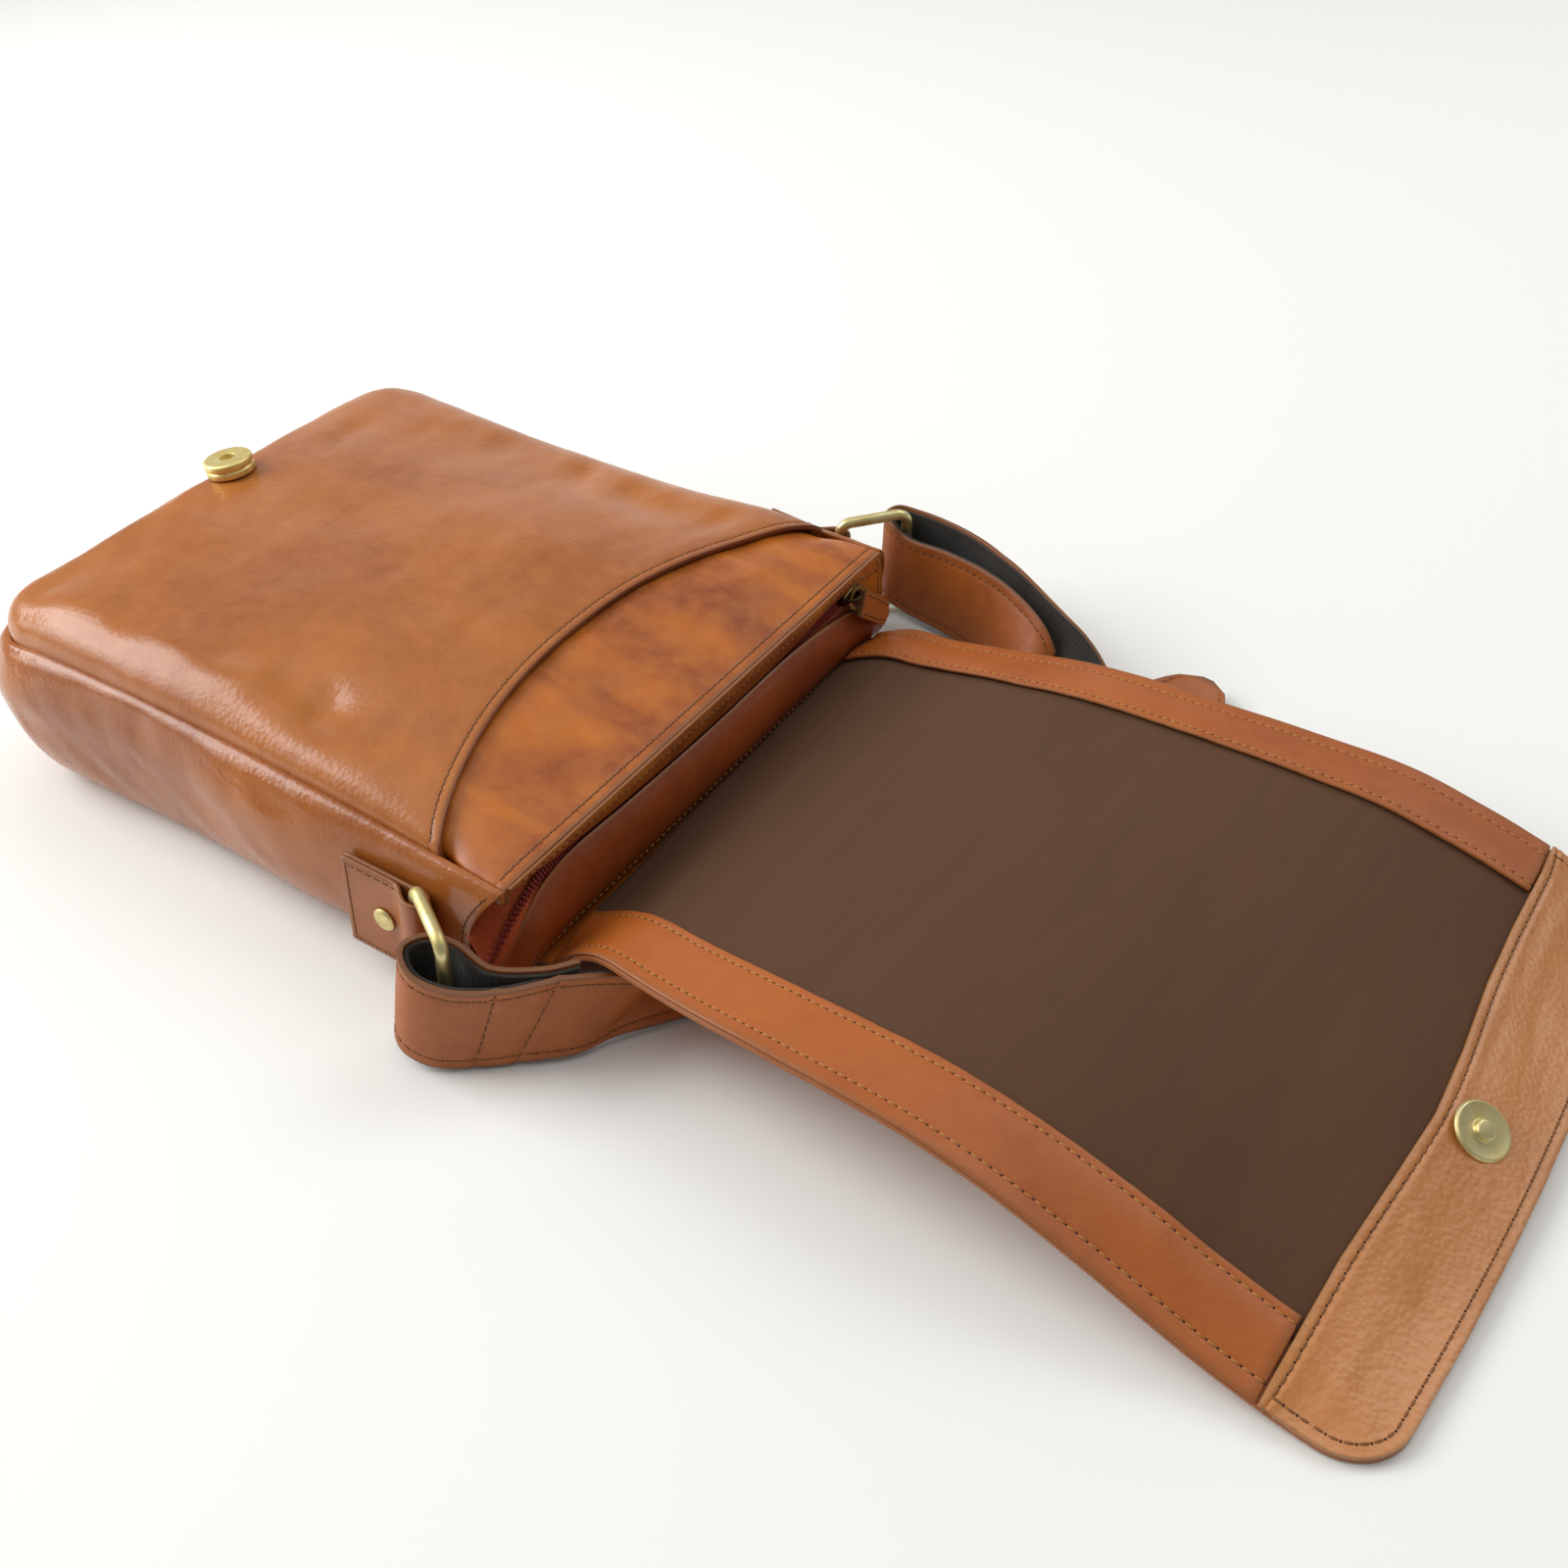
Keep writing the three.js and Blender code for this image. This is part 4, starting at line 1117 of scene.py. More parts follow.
        hidden = stations(-self.length, self.panel_fine_from, 12.0)[:-1]
        back = hidden + stations(self.panel_fine_from, 0.0, 2.4, [-self.panel_row])
        across = self._across(half, RIM, 2.6)
        panel = Sheet("front_leather", face, back, across, self.leather, UPPER_HIDE, "tan_leather")
        host = panel.dress("front_panel", self.panel_relief, rim_mm=1.0)
        row = [face(-self.panel_row, lerp(-half + 1, half - 1, i / 120)) for i in range(121)]
        Stitching().sew("front_edge_stitching", host, [row], UP, DARK_THREAD, "tan_leather")

    def seam_outline(self) -> Tuple[float, float, float, float, float]:
        """Measures the outline that the gusset is sewn along.

        Returns:
            Half its width, its length, its straight side, one corner's arc and the whole walk round it.
        """
        half, length = self.width / 2 + self.seam_offset, self.length + self.seam_offset
        side, arc = length - self.corner, self.corner * math.pi / 2
        return half, length, side, arc, 2 * (side + arc) + 2 * (half - self.corner)

    def walk(self, run: float) -> Tuple[Vector, Vector]:
        """Walks the seam's outline from the near top corner round the bottom to the far one.

        Args:
            run: Millimetres walked.

        Returns:
            The place on the outline and the way out of it, both flat.
        """
        half, length, side, arc, total = self.seam_outline()
        hand = -1.0 if run < total / 2 else 1.0
        step = min(run, total - run)
        if step <= side:
            return Vector((-step, hand * half, 0)), Vector((0, hand, 0))
        if step <= side + arc:
            turn = (step - side) / self.corner
            out = Vector((-math.sin(turn), hand * math.cos(turn), 0))
            centre = Vector((-length + self.corner, hand * (half - self.corner), 0))
            return centre + out * self.corner, out
        left = half - self.corner - (step - side - arc)
        return Vector((-length, hand * left, 0)), Vector((-1, 0, 0))

    def gusset_face(self, run: float, drop: float) -> Vector:
        """Bends the gusset between the two seams, with its swell, its roll and its drawn-in ends.

        Args:
            run: Millimetres along the seam.
            drop: 0 at the front seam and 1 at the back seam, and past these down the turned-in edges.

        Returns:
            The point.
        """
        at, out = self.walk(run)
        rise = 1 - clamp(drop)
        top = ease(-40, 0, at.x)
        low = self.leather / 2 + self.back_lift - 0.4 + 6 * top
        bulge = lerp(self.bottom_bulge, self.bulge(at.x), out.y**2)
        swell = bulge * max(math.sin(math.pi * rise**0.85), 0.0) ** 0.6
        swell *= 1 + 0.3 * bell(drop - 0.22, 0.18) * (1 - bell(at.x + 44, 34))
        roll = 1.2 * bell(drop - 0.06, 0.045) * (1 - ease(-16, 0, at.x))
        z = lerp(low, self.seam_height(at.x, at.y) - 1.6, rise) + roll
        tuck = max(-drop, 0.0) * 60
        point = at + out * (swell + 0.4 * min(tuck, 1.0))
        point.x -= top * (self.near_recess * (1 - rise**2.2) if at.y < 0 else self.far_recess * (1 - rise))
        point.z = z - tuck + max(drop - 1.0, 0.0) * 60
        return point

    def gusset_relief(self, run: float, drop: float, point: Vector) -> float:
        """Presses the gusset's soft folds, which run down it and fade at its seams.

        Args:
            run: Millimetres along the seam.
            drop: Share down from the front seam.
            point: The point there.

        Returns:
            How far the leather stands out.
        """
        calm = ease(0.0, 0.16, drop) * ease(0.0, 0.16, 1 - drop)
        folds = 1.8 * ripple(Vector((run * 0.5 + drop * 14.0, drop * 44.0, 0.0)), 27.0, 2.0)
        small = 0.6 * ripple(Vector((run * 1.1 + drop * 30.0, drop * 44.0, 4.0)), 14.0, 6.0)
        return (folds + small) * calm

    def _build_gusset(self) -> None:
        """Builds the strip round the sides and the bottom, stitched across its two ends."""
        total = self.seam_outline()[-1]
        by_seam = (0.0, 0.006, 0.018, 0.04, 0.07, 0.11, 0.16)
        drops = sorted(
            {-0.07, -0.045, -0.02, 1.02, 1.045, 1.07}
            | set(by_seam)
            | {1 - drop for drop in by_seam}
            | {0.16 + 0.034 * i for i in range(1, 20)}
        )
        runs = stations(0.0, total, 3.0)
        gusset = Sheet(
            "gusset_leather", self.gusset_face, runs, drops, self.leather, GUSSET_HIDE, "tan_leather"
        )
        gusset.rim_ends = False
        # Its near-black rim along both seams is painted shade in the seam grooves
        host = gusset.dress("gusset", self.gusset_relief, rim_mm=1.8)
        for side, run in zip(Side, (self.gusset_row, total - self.gusset_row)):
            end = [self.gusset_face(run, lerp(0.03, 0.95, i / 30)) for i in range(31)]
            name, out = f"gusset_{side.name.lower()}_stitching", Vector((0.0, side.value, 0.0))
            FINE_STITCH.sew(name, host, [end], out, DARK_THREAD, "tan_leather")

    def _build_back(self) -> None:
        """Builds the back panel, flat on the floor, with its edge turned up to the gusset."""
        half = self.width / 2 - self.inset
        nominal = self.length - self.inset + self.back_end

        def face(back: float, across: float) -> Vector:
            """Bends a place of the flat panel up at its rim and at its top edge.

            Args:
                back: Place back from the top edge, below 0.
                across: Place across, past the half width on the turned-up edge.

            Returns:
                The point.
            """
            over = max(-back - nominal, abs(across) - half, 0.0)
            share = clamp(across / half, -1.0, 1.0)
            x = lerp(self.back_end, -self.length + self.inset, clamp(-back / nominal))
            y = share * self.half_width(x, self.inset)
            lift = self.back_lift * (1 - round_over(self.from_rim(x, y, self.inset), self.back_rounding))
            z = self.leather / 2 + lift * (1 - ease(-44, -12, x)) + self.back_rise * ease(-44, 0, x)
            return Vector((x, y, z + over))

        back = sorted([-nominal + d for d in BACK_RIM] + stations(-nominal + INSIDE_RIM, 0.0, 6.0))
        across = self._across(half, BACK_RIM, 6.0)
        panel = Sheet("back_leather", face, back, across, self.leather, GUSSET_HIDE, "tan_leather")
        panel.dress("back_panel")


# Where the lips' edges lie: their x, and the heights of the front and the back one
LIP_SECTIONS: List[Row] = table(
    "y x front back",
    (-112, -6.5, 45, 16),
    (-105, -3.6, 45.4, 23.5),
    (-98, -2.4, 45, 31),
    (-90, -2.2, 44, 36.2),
    (-76, -2.2, 42, 39),
    (-45, -2.2, 39.5, 37.5),
    (0, -2.2, 38, 36.2),
    (45, -2.2, 38.8, 36.4),
    (74, -1.6, 42.2, 34),
    (86, -0.4, 41, 32),
    (92, 0.6, 34, 28),
    (105, 1.0, 29, 26),
)
# Where the zip's coil lies: how deep behind the top edge, and its height
ZIP_SECTIONS: List[Row] = table(
    "y line deep",
    (-113, 19.3, 8),
    (-108.5, 25.2, 6.2),
    (-103, 31.5, 4.4),
    (-96, 36.8, 3.2),
    (-89, 39.6, 3),
    (-76, 39, 3.6),
    (-45, 37, 4.6),
    (0, 37, 4.6),
    (45, 37.5, 4.2),
    (74, 38.6, 2.8),
    (84, 39.6, 2.4),
    (96, 38, 3),
)


@dataclass
class ZipTop:
    """The zipped top: two leather lips, the tape, the coil, the slider and its pull."""

    lip: float = 1.4
    reach: float = 104.2
    back_reach: float = 111.0
    end_row: float = 3.0
    front_top: Tuple[float, float] = (1.0, 48.6)
    front_bow: float = 1.6
    back_bow: Tuple[float, float] = (3.6, 7.0)
    back_low: Tuple[float, float] = (2.6, 14.5)
    back_root: Tuple[float, float] = (-6.0, 10.6)
    zip_ends: Tuple[float, float] = (-113.0, 96.0)
    tape_half: float = 9.5
    tape_behind: float = 1.3
    tape_lean: float = 0.44
    tooth_pitch: float = 1.35
    tooth_size: Tuple[float, float, float] = (1.0, 0.44, 1.35)
    tooth_apart: float = 0.95
    slider_y: float = 83.0
    slider_size: Tuple[float, float, float] = (3.8, 11.0, 7.0)
    slider_taper: float = 0.62
    slider_rounding: float = 0.9
    slider_lift: float = 1.8
    bridge_x: float = 1.6
    bridge_reach: float = 3.4
    bridge_wire: float = 0.7
    ring_reach: float = 4.2
    ring_wire: float = 0.8
    tag_half: float = 5.4
    tag_length: float = 18.0
    tag_leather: float = 2.2
    line: Column = column(ZIP_SECTIONS, "y", "line")
    deep: Column = column(ZIP_SECTIONS, "y", "deep")
    edge: Column = column(LIP_SECTIONS, "y", "x")
    front: Column = column(LIP_SECTIONS, "y", "front")
    back: Column = column(LIP_SECTIONS, "y", "back")

    def front_lip(self, down: float, y: float) -> Vector:
        """Bends the front lip from its top edge down to the zip.

        Args:
            down: Share down the lip.
            y: Place along the zip.

        Returns:
            The point.
        """
        top = Vector((self.front_top[0], y, self.front_top[1]))
        bow = Vector((self.front_bow, y, (self.front_top[1] + self.front(y)) / 2))
        end = Vector((self.edge(y), y, self.front(y)))
        return top * (1 - down) ** 2 + bow * 2 * down * (1 - down) + end * down**2

    def back_lip(self, down: float, y: float) -> Vector:
        """Bends the back lip from the zip down to the flap's root.

        Args:
            down: Share down the lip.
            y: Place along the zip.

        Returns:
            The point.
        """
        left = 1 - down
        start = Vector((self.edge(y), y, self.back(y)))
        bow = Vector((self.back_bow[0], y, self.back(y) - self.back_bow[1]))
        low = Vector((self.back_low[0], y, self.back_low[1]))
        root = Vector((self.back_root[0], y, self.back_root[1]))
        return start * left**3 + bow * 3 * left**2 * down + low * 3 * left * down**2 + root * down**3

    def lip_relief(self, down: float, y: float, point: Vector) -> float:
        """Returns the lips' small waves."""
        return 0.3 * ripple(point, 14.0, 4.0) * math.sin(math.pi * clamp(down))

    def build(self) -> None:
        """Builds the lips and their stitching, the zip and its pull."""
        lips = (
            ("front", self.front_lip, UPPER_HIDE, 0.3, DARK_THREAD, -self.reach),
            ("back", self.back_lip, LIP_HIDE, 0.8, TAN_THREAD, -self.back_reach),
        )
        out = Vector((1.0, 0.0, 0.2)).normalized()
        for name, face, finish, row, thread, first in lips:
            ys = stations(first, self.reach, 2.6)
            downs = [i / 18 for i in range(19)]
            sheet = Sheet(f"zip_{name}_lip", face, downs, ys, self.lip, finish, "tan_leather")
            host = sheet.dress(f"zip_lip_{name}", self.lip_relief, rim_mm=0.8)
            path = [face(row, lerp(ys[0] + 2, self.reach - 2, i / 120)) for i in range(121)]
            end = [face(lerp(0.06, 0.94, i / 12), self.reach - self.end_row) for i in range(13)]
            FINE_STITCH.sew(f"zip_{name}_stitching", host, [path, end], out, thread, "tan_leather")
        self._build_zip()
        self._build_slider()
        self._build_pull()

    def _build_zip(self) -> None:
        """Builds the woven tape and the coil's rows of loops."""
        first, last = self.zip_ends

        def tape(across: float, y: float) -> Vector:
            """Returns a point of the tape, which leans where the zip turns down the near side."""
            lean = self.tape_lean * (1 - ease(-100.0, -84.0, y))
            return Vector((-self.deep(y) - self.tape_behind + across * lean, y, self.line(y) - across))

        widths = stations(-self.tape_half, self.tape_half, 2.0)
        ys = stations(first, last, 3.0)
        Sheet("zip_tape_cloth", tape, widths, ys, 1.0, ZIP_CLOTH, "zip_cloth").dress("zip_tape")
        mesh = bmesh.new()
        size = Matrix.Diagonal((*(length * MM for length in self.tooth_size), 1.0))
        for k in range(int((last - first) / self.tooth_pitch)):
            y = first + (k + 0.5) * self.tooth_pitch
            for side in (-1, 1):
                z = self.line(y) + side * self.tooth_apart
                at = Vector((-self.deep(y) + 0.4, y + side * self.tooth_pitch / 4, z))
                spot = Matrix.Translation(to_frame(at))
                bmesh.ops.create_uvsphere(mesh, u_segments=6, v_segments=5, radius=1.0, matrix=spot @ size)
        add_piece("zip_coil_loops", mesh, [ZIP_NYLON], "zip_nylon", ["zip_coil"])

    def _build_slider(self) -> None:
        """Builds the slider's body, narrower at one end, with its bridge."""
        mesh = bmesh.new()
        size = Matrix.Diagonal((*(length * MM for length in self.slider_size), 1.0))
        bmesh.ops.create_cube(mesh, size=1.0, matrix=size)
        for vert in mesh.verts:
            if vert.co.y < 0:
                vert.co.z *= self.slider_taper
        rounding = {"offset": self.slider_rounding * MM, "segments": 3, "profile": 0.5}
        bmesh.ops.bevel(mesh, geom=mesh.edges[:], affect="EDGES", material=-1, **rounding)
        foot = Matrix.Translation((self.bridge_x * MM, -self.bridge_reach * MM, 0.0))
        stand = foot @ Matrix.Rotation(math.pi / 2, 4, "Y")
        arch = bmesh.ops.create_circle(mesh, segments=10, radius=self.bridge_wire * MM, matrix=stand)
        rim = list({edge for vert in arch["verts"] for edge in vert.link_edges})
        middle = (self.bridge_x * MM, 0, 0)
        bmesh.ops.spin(mesh, geom=arch["verts"] + rim, cent=middle, axis=UP, angle=math.pi, steps=14)
        bmesh.ops.recalc_face_normals(mesh, faces=mesh.faces)
        spot = Vector((0.2, self.slider_y, self.line(self.slider_y) + self.slider_lift))
        bmesh.ops.translate(mesh, verts=mesh.verts, vec=to_frame(spot))
        add_piece("zip_slider_body", mesh, [DARK_BRASS], "dark_brass", ["zip_slider"])

    def _build_pull(self) -> None:
        """Builds the jump ring and the stitched leather tag that hangs on it."""
        mesh = bmesh.new()
        foot = Matrix.Translation((0, self.ring_reach * MM, 0))
        stand = foot @ Matrix.Rotation(math.pi / 2, 4, "Z") @ Matrix.Rotation(math.pi / 2, 4, "X")
        wire = bmesh.ops.create_circle(mesh, segments=12, radius=self.ring_wire * MM, matrix=stand)
        rim = list({edge for vert in wire["verts"] for edge in vert.link_edges})
        bent = wire["verts"] + rim
        bmesh.ops.spin(
            mesh, geom=bent, cent=(0, 0, 0), axis=(1, 0, 0), angle=2 * math.pi, steps=40, use_merge=True
        )
        bmesh.ops.remove_doubles(mesh, verts=mesh.verts, dist=MERGE)
        bmesh.ops.recalc_face_normals(mesh, faces=mesh.faces)
        zip_z = self.line(self.slider_y) + self.slider_lift
        spot = to_frame(Vector((3.4, self.slider_y + 1.6, zip_z - 1.2)))
        turn = Matrix.Translation(spot) @ Matrix.Rotation(math.radians(-6), 4, "Z")
        bmesh.ops.transform(mesh, matrix=turn, verts=mesh.verts)
        add_piece("zip_jump_ring", mesh, [PALE_BRASS], "aged_brass", ["zip_pull_ring"])
        seat = Vector((3.8, self.slider_y + 3.0, zip_z - 4.2))
        swing = Matrix.Rotation(math.radians(-12), 3, "Y") @ Matrix.Rotation(math.radians(48), 3, "X")
        half, straight = self.tag_half, self.tag_length - self.tag_half

        def tag(down: float, across: float) -> Vector:
            """Places a point of the tag, whose end is round.

            Args:
                down: Millimetres down the tag.
                across: Share across it, from -1 to 1.

            Returns:
                The point.
            """
            into = max(down - straight, 0.0)
            wide = half if into <= 0 else max(math.sqrt(max(half**2 - into**2, 0.0)), 0.6)
            return seat + swing @ Vector((0.0, across * wide, -down))

        downs = stations(0.0, straight, 1.2)
        downs += [straight + half * math.sin(i * math.pi / 16) for i in range(1, 9)]
        shares = [-1 + i / 6 for i in range(13)]
        sheet = Sheet("zip_pull_leather", tag, downs, shares, self.tag_leather, STRAP_HIDE, "tan_leather")
        host = sheet.dress("zip_pull_tag", rim_mm=0.7)
        rows = [[tag(down, side * 0.66) for down in (1.0, 6.0, 11.0, 16.0)] for side in (-1, 1)]
        out = swing @ Vector((1.0, 0.0, 0.0))
        stitching = Stitching(pitch=3.0, length=2.2)
        stitching.sew("zip_pull_stitching", host, rows, out, DARK_THREAD, "tan_leather")


# Along the flap: the heights of its two edges, how far the near edge curls up, and half its width
FLAP_SECTIONS: List[Row] = table(
    "x near far curl half",
    (-8, 12.6, 12.6, 0, 97),
    (2, 14, 19, 0, 97),
    (16, 22.5, 23.4, 4.5, 99.5),
    (32, 29.5, 22.8, 4.5, 101),
    (58, 32.5, 26, 4, 104),
    (92, 36, 29.5, 4, 106.2),
    (140, 38, 30.5, 2, 106.7),
    (170, 33.5, 30.5, 1, 106.7),
    (197, 25, 29.5, 0, 106.7),
    (222, 14.5, 24, 0, 106.7),
    (243, 8, 17, 0, 106.7),
    (262, 5.6, 10, 0, 106.7),
    (282, 5, 5.4, 0, 106.7),
)
# Distances in from the flap's sides, closer together at the edge
FLAP_RIM = (0.0, 0.4, 1.2, 2.4, 4.0, 6.0, 8.5, 11.5, 15.0)


@dataclass
class Flap:
    """The open flap, underside up: outer leather, lining, side borders, hem and the snap's stud."""

    length: float = 277.5
    skew: float = math.radians(-3.6)
    shift: float = 3.4
    skew_reach: float = 60.0
    end_bow: float = 5.4
    corner: float = 15.0
    half: float = 106.7
    border: float = 24.5
    border_slope: float = 16.0
    curl_reach: float = 25.0
    root: float = -7.0
    border_start: Dict[Side, float] = field(default_factory=lambda: {Side.NEAR: 1.5, Side.FAR: 2.0})
    hem_start: float = 243.0
    hem_slope: float = 28.0
    hem_row: float = 3.0
    hem_rim_row: float = 3.4
    hem_bow: float = 5.0
    hem_rise: float = 4.5
    lining_start: float = -1.0
    tuck: float = 5.0
    leather: float = 1.6
    trim: float = 1.3
    cloth: float = 1.0
    gap: float = 0.65
    inner_row: float = 2.8
    outer_row: float = 5.2
    groove: float = 0.7
    stud_x: float = 259.0
    stud_y: float = -8.5
    stud_tilt: Tuple[float, float, float] = (0.26, -0.12, 0.0)
    near: Column = column(FLAP_SECTIONS, "x", "near")
    far: Column = column(FLAP_SECTIONS, "x", "far")
    curl: Column = column(FLAP_SECTIONS, "x", "curl")
    width: Column = column(FLAP_SECTIONS, "x", "half")

    def top(self, x: float, share: float) -> Vector:
        """Bends the flap's top face, skewed, and raised where the stud pulls on the hem.

        Args:
            x: Place along the flap.
            share: Share across it, from -1 to 1.

        Returns:
            The point.
        """
        half = self.width(x)
        y = share * half
        curl = self.curl(x) * max(1 - (y + half) / self.curl_reach, 0.0) ** 2
        z = lerp(self.near(x), self.far(x), clamp((share + 1) / 2)) + curl
        z += self.hem_rise * bell(x - self.hem_start, 30.0) * bell(y - self.stud_y, 52.0)
        past = ease(0.0, self.skew_reach, x)
        point = Matrix.Rotation(self.skew * past, 3, "Z") @ Vector((x, y, z))
        point.y += self.shift * past
        return point

    def sunk(self, x: float, share: float, depth: float) -> Vector:
        """Places a point at a depth under the flap's top face.

        Args:
            x: Place along the flap.
            share: Share across it, from -1 to 1.
            depth: The depth, square to the face.

        Returns:
            The point.
        """
        step, side_step = 0.4, 0.004
        along = self.top(x + step, share) - self.top(x - step, share)
        across = self.top(x, share + side_step) - self.top(x, share - side_step)
        return self.top(x, share) - along.cross(across).normalized() * depth

    def end(self, y: float, inset: float = 0.0) -> float:
        """Measures how far the flap reaches, with its bowed end and rounded corners.

        Args:
            y: Place across the flap.
            inset: How far inside the end to measure.

        Returns:
            The reach.
        """
        bow = self.length - inset - self.end_bow * (y / self.half) ** 2
        radius = self.corner - inset
        into = abs(y) - (self.half - self.corner)
        if into <= 0:
            return bow
        return bow - radius + math.sqrt(max(radius**2 - into**2, 0.0))

    def stretched(self, start: float, x: float, share: float) -> float:
        """Returns x scaled so that a run from start to the flap's length ends at its edge."""
        return start + (self.end(share * self.half) - start) * (x - start) / (self.length - start)

    def step_down(self, beyond: float, slope: float) -> float:
        """Returns how far a border drops, along a slope that starts past the lining's edge."""
        return (self.cloth + 2 * self.gap - 0.1) * ease(0.0, slope, beyond - self.tuck - 1.0)

    def soft(self, a: float, b: float, point: Vector) -> float:
        """Returns the slow waves that all the flap's layers share."""
        return 0.5 * ripple(point, 42.0, 8.0) + 0.2 * ripple(point, 17.0, 11.0)

    def build(self) -> None:
        """Builds the flap's layers, from the outer leather up, and their stitching."""
        edge = [1 - distance / self.half for distance in FLAP_RIM]
        shares = sorted([-s for s in edge] + stations(-0.85, 0.85, 0.04) + edge)
        depth = self.trim + self.gap * 2 + self.cloth + self.leather / 2

        def outer(x: float, share: float) -> Vector:
            """Returns a point of the outer leather, which lies under the other layers."""
            return self.sunk(self.stretched(self.root, x, share), share, depth)

        xs = stations(self.root, self.length, 4.0)
        leather = Sheet("flap_outer_leather", outer, xs, shares, self.leather, FLAP_HIDE, "flap_leather")
        leather.dress("flap_leather", self.soft, rim_mm=1.5)
        self._build_lining()
        for side in Side:
            self._build_border(side)
        self._build_hem(shares)
        self._build_stud()

    def _build_lining(self) -> None:
        """Builds the lining, whose edges lie under the borders and the hem."""
        reach = 1 - (self.border - self.tuck) / self.half
        last = self.hem_start + self.hem_bow + self.tuck
        depth = self.trim + self.gap + self.cloth / 2

        def face(x: float, share: float) -> Vector:
            """Returns a point of the lining's middle."""
            return self.sunk(x, share, depth)

        def relief(x: float, share: float, point: Vector) -> float:
            """Returns the flap's waves with the lining's own slack, none at its sewn sides."""
            slack = ease(0.0, 0.12, reach - abs(share))
            return self.soft(x, share, point) + 0.35 * slack * ripple(point, 26.0, 15.0)

        xs, shares = stations(self.lining_start, last, 3.2), stations(-reach, reach, 0.03, fine=0.01)
        sheet = Sheet("flap_lining_cloth", face, xs, shares, self.cloth, LINING, "lining_cloth")
        piece = sheet.dress("flap_lining", relief)

    def _build_border(self, side: Side) -> None:
        """Builds one side border with its two rows of stitches.

        Args:
            side: The flap's near or far side.
        """
        inner = 1 - self.border / self.half
        rows = (self.inner_row, self.border - self.outer_row)

        def face(x: float, out: float) -> Vector:
            """Returns a point of the border, by millimetres out from its inner edge."""
            share = side.value * (inner + (1 - inner) * out / self.border)
            return self.sunk(x, share, self.trim / 2 + self.step_down(out, self.border_slope))

        def relief(x: float, out: float, point: Vector) -> float:
            """Presses the grooves under the stitches and the pucker along the inner edge.

            Args:
                x: Place along the flap.
                out: Place out from the inner edge.
                point: The point there.

            Returns:
                How far the leather stands out.
            """
            grooves = sum(0.25 * bell(out - row, self.groove) for row in rows)
            pucker = 0.25 * ripple(Vector((x, 0, 0)), 6.0, side.value) * bell(out, 5.0)
            return self.soft(x, out, point) - grooves + pucker

        outs = stations(0.0, self.border, 2.2, rows)
        if side is Side.NEAR:
            outs.reverse()
        xs = stations(self.border_start[side], self.hem_start - 0.5, 3.0)
        name = f"flap_border_{side.name.lower()}"
        sheet = Sheet(f"{name}_leather", face, xs, outs, self.trim, FLAP_HIDE, "flap_leather")
        host = sheet.dress(name, relief, rim_mm=1.2)
        paths = [[face(x, row) for x in xs] for row in rows]
        stitching = Stitching(pitch=3.1, width=0.6)
        stitching.sew(f"{name}_stitching", host, paths, UP, TAN_THREAD, "flap_leather")

    def _build_hem(self, shares: Sequence[float]) -> None:
        """Builds the hem across the flap's end, with its stitched inner fold and edge.

        Args:
            shares: Stations across the flap.
        """
        inner = 1 - self.border / self.half

        def face(x: float, share: float) -> Vector:
            """Bends the hem, whose inner fold is bowed at the stud.

            Args:
                x: Place along the flap.
                share: Share across it, from -1 to 1.

            Returns:
                The point.
            """
            beside = self.step_down((abs(share) - inner) * self.half, self.border_slope)
            drop = max(beside, self.step_down(x - self.hem_start, self.hem_slope))
            left = (self.length - x) / (self.length - self.hem_start)
            bow = self.hem_bow * bell(share * self.half - self.stud_y, 42.0) * left
            return self.sunk(self.stretched(self.hem_start, x, share) + bow, share, self.trim / 2 + drop)

        def relief(x: float, share: float, point: Vector) -> float:
            """Presses the raised fold, the groove under its stitches and the hide's coarse pebble.

            Args:
                x: Place along the flap.
                share: Share across it.
                point: The point there.

            Returns:
                How far the leather stands out.
            """
            past = x - self.hem_start
            fold = 0.4 * (1 - ease(4.0, 8.0, past)) - 0.35 * bell(past - self.hem_row, self.groove)
            drawn = Vector((point.x, point.y * 0.5, point.z))
            pebble = 0.1 * ripple(point, 4.2, 21.0) + 0.4 * ripple(drawn, 11.0, 23.0)
            return self.soft(x, share, point) + fold + pebble * ease(5.0, 10.0, past)

        xs = stations(self.hem_start, self.length, 1.6, [self.hem_start + self.hem_row])
        closer = sorted(set(shares) | {s + 0.02 for s in shares if -0.84 < s < 0.82})
        sheet = Sheet("flap_hem_leather", face, xs, closer, self.trim, HEM_HIDE, "hem_leather")
        host = sheet.dress("flap_hem", relief, rim_mm=1.3)
        fold_row = [face(self.hem_start + self.hem_row, lerp(-0.97, 0.97, i / 120)) for i in range(121)]
        paths = [fold_row, self._hem_edge()]
        Stitching().sew("flap_hem_stitching", host, paths, UP, DARK_THREAD, "hem_leather")

    def _hem_edge(self) -> List[Vector]:
        """Lays the row of stitches up the hem's near side, round its end and down its far side.

        Returns:
            The row's points.
        """
        reach = self.half - self.hem_rim_row
        corner = self.end(reach, self.hem_rim_row)
        side = [lerp(self.hem_start + 1, corner, i / 20) for i in range(20)]
        ys = [reach * math.sin(lerp(-math.pi / 2, math.pi / 2, i / 200)) for i in range(201)]
        row = [self.top(x, -reach / self.half) for x in side]
        row += [self.top(self.end(y, self.hem_rim_row), y / self.half) for y in ys]
        return row + [self.top(x, reach / self.half) for x in reversed(side)]

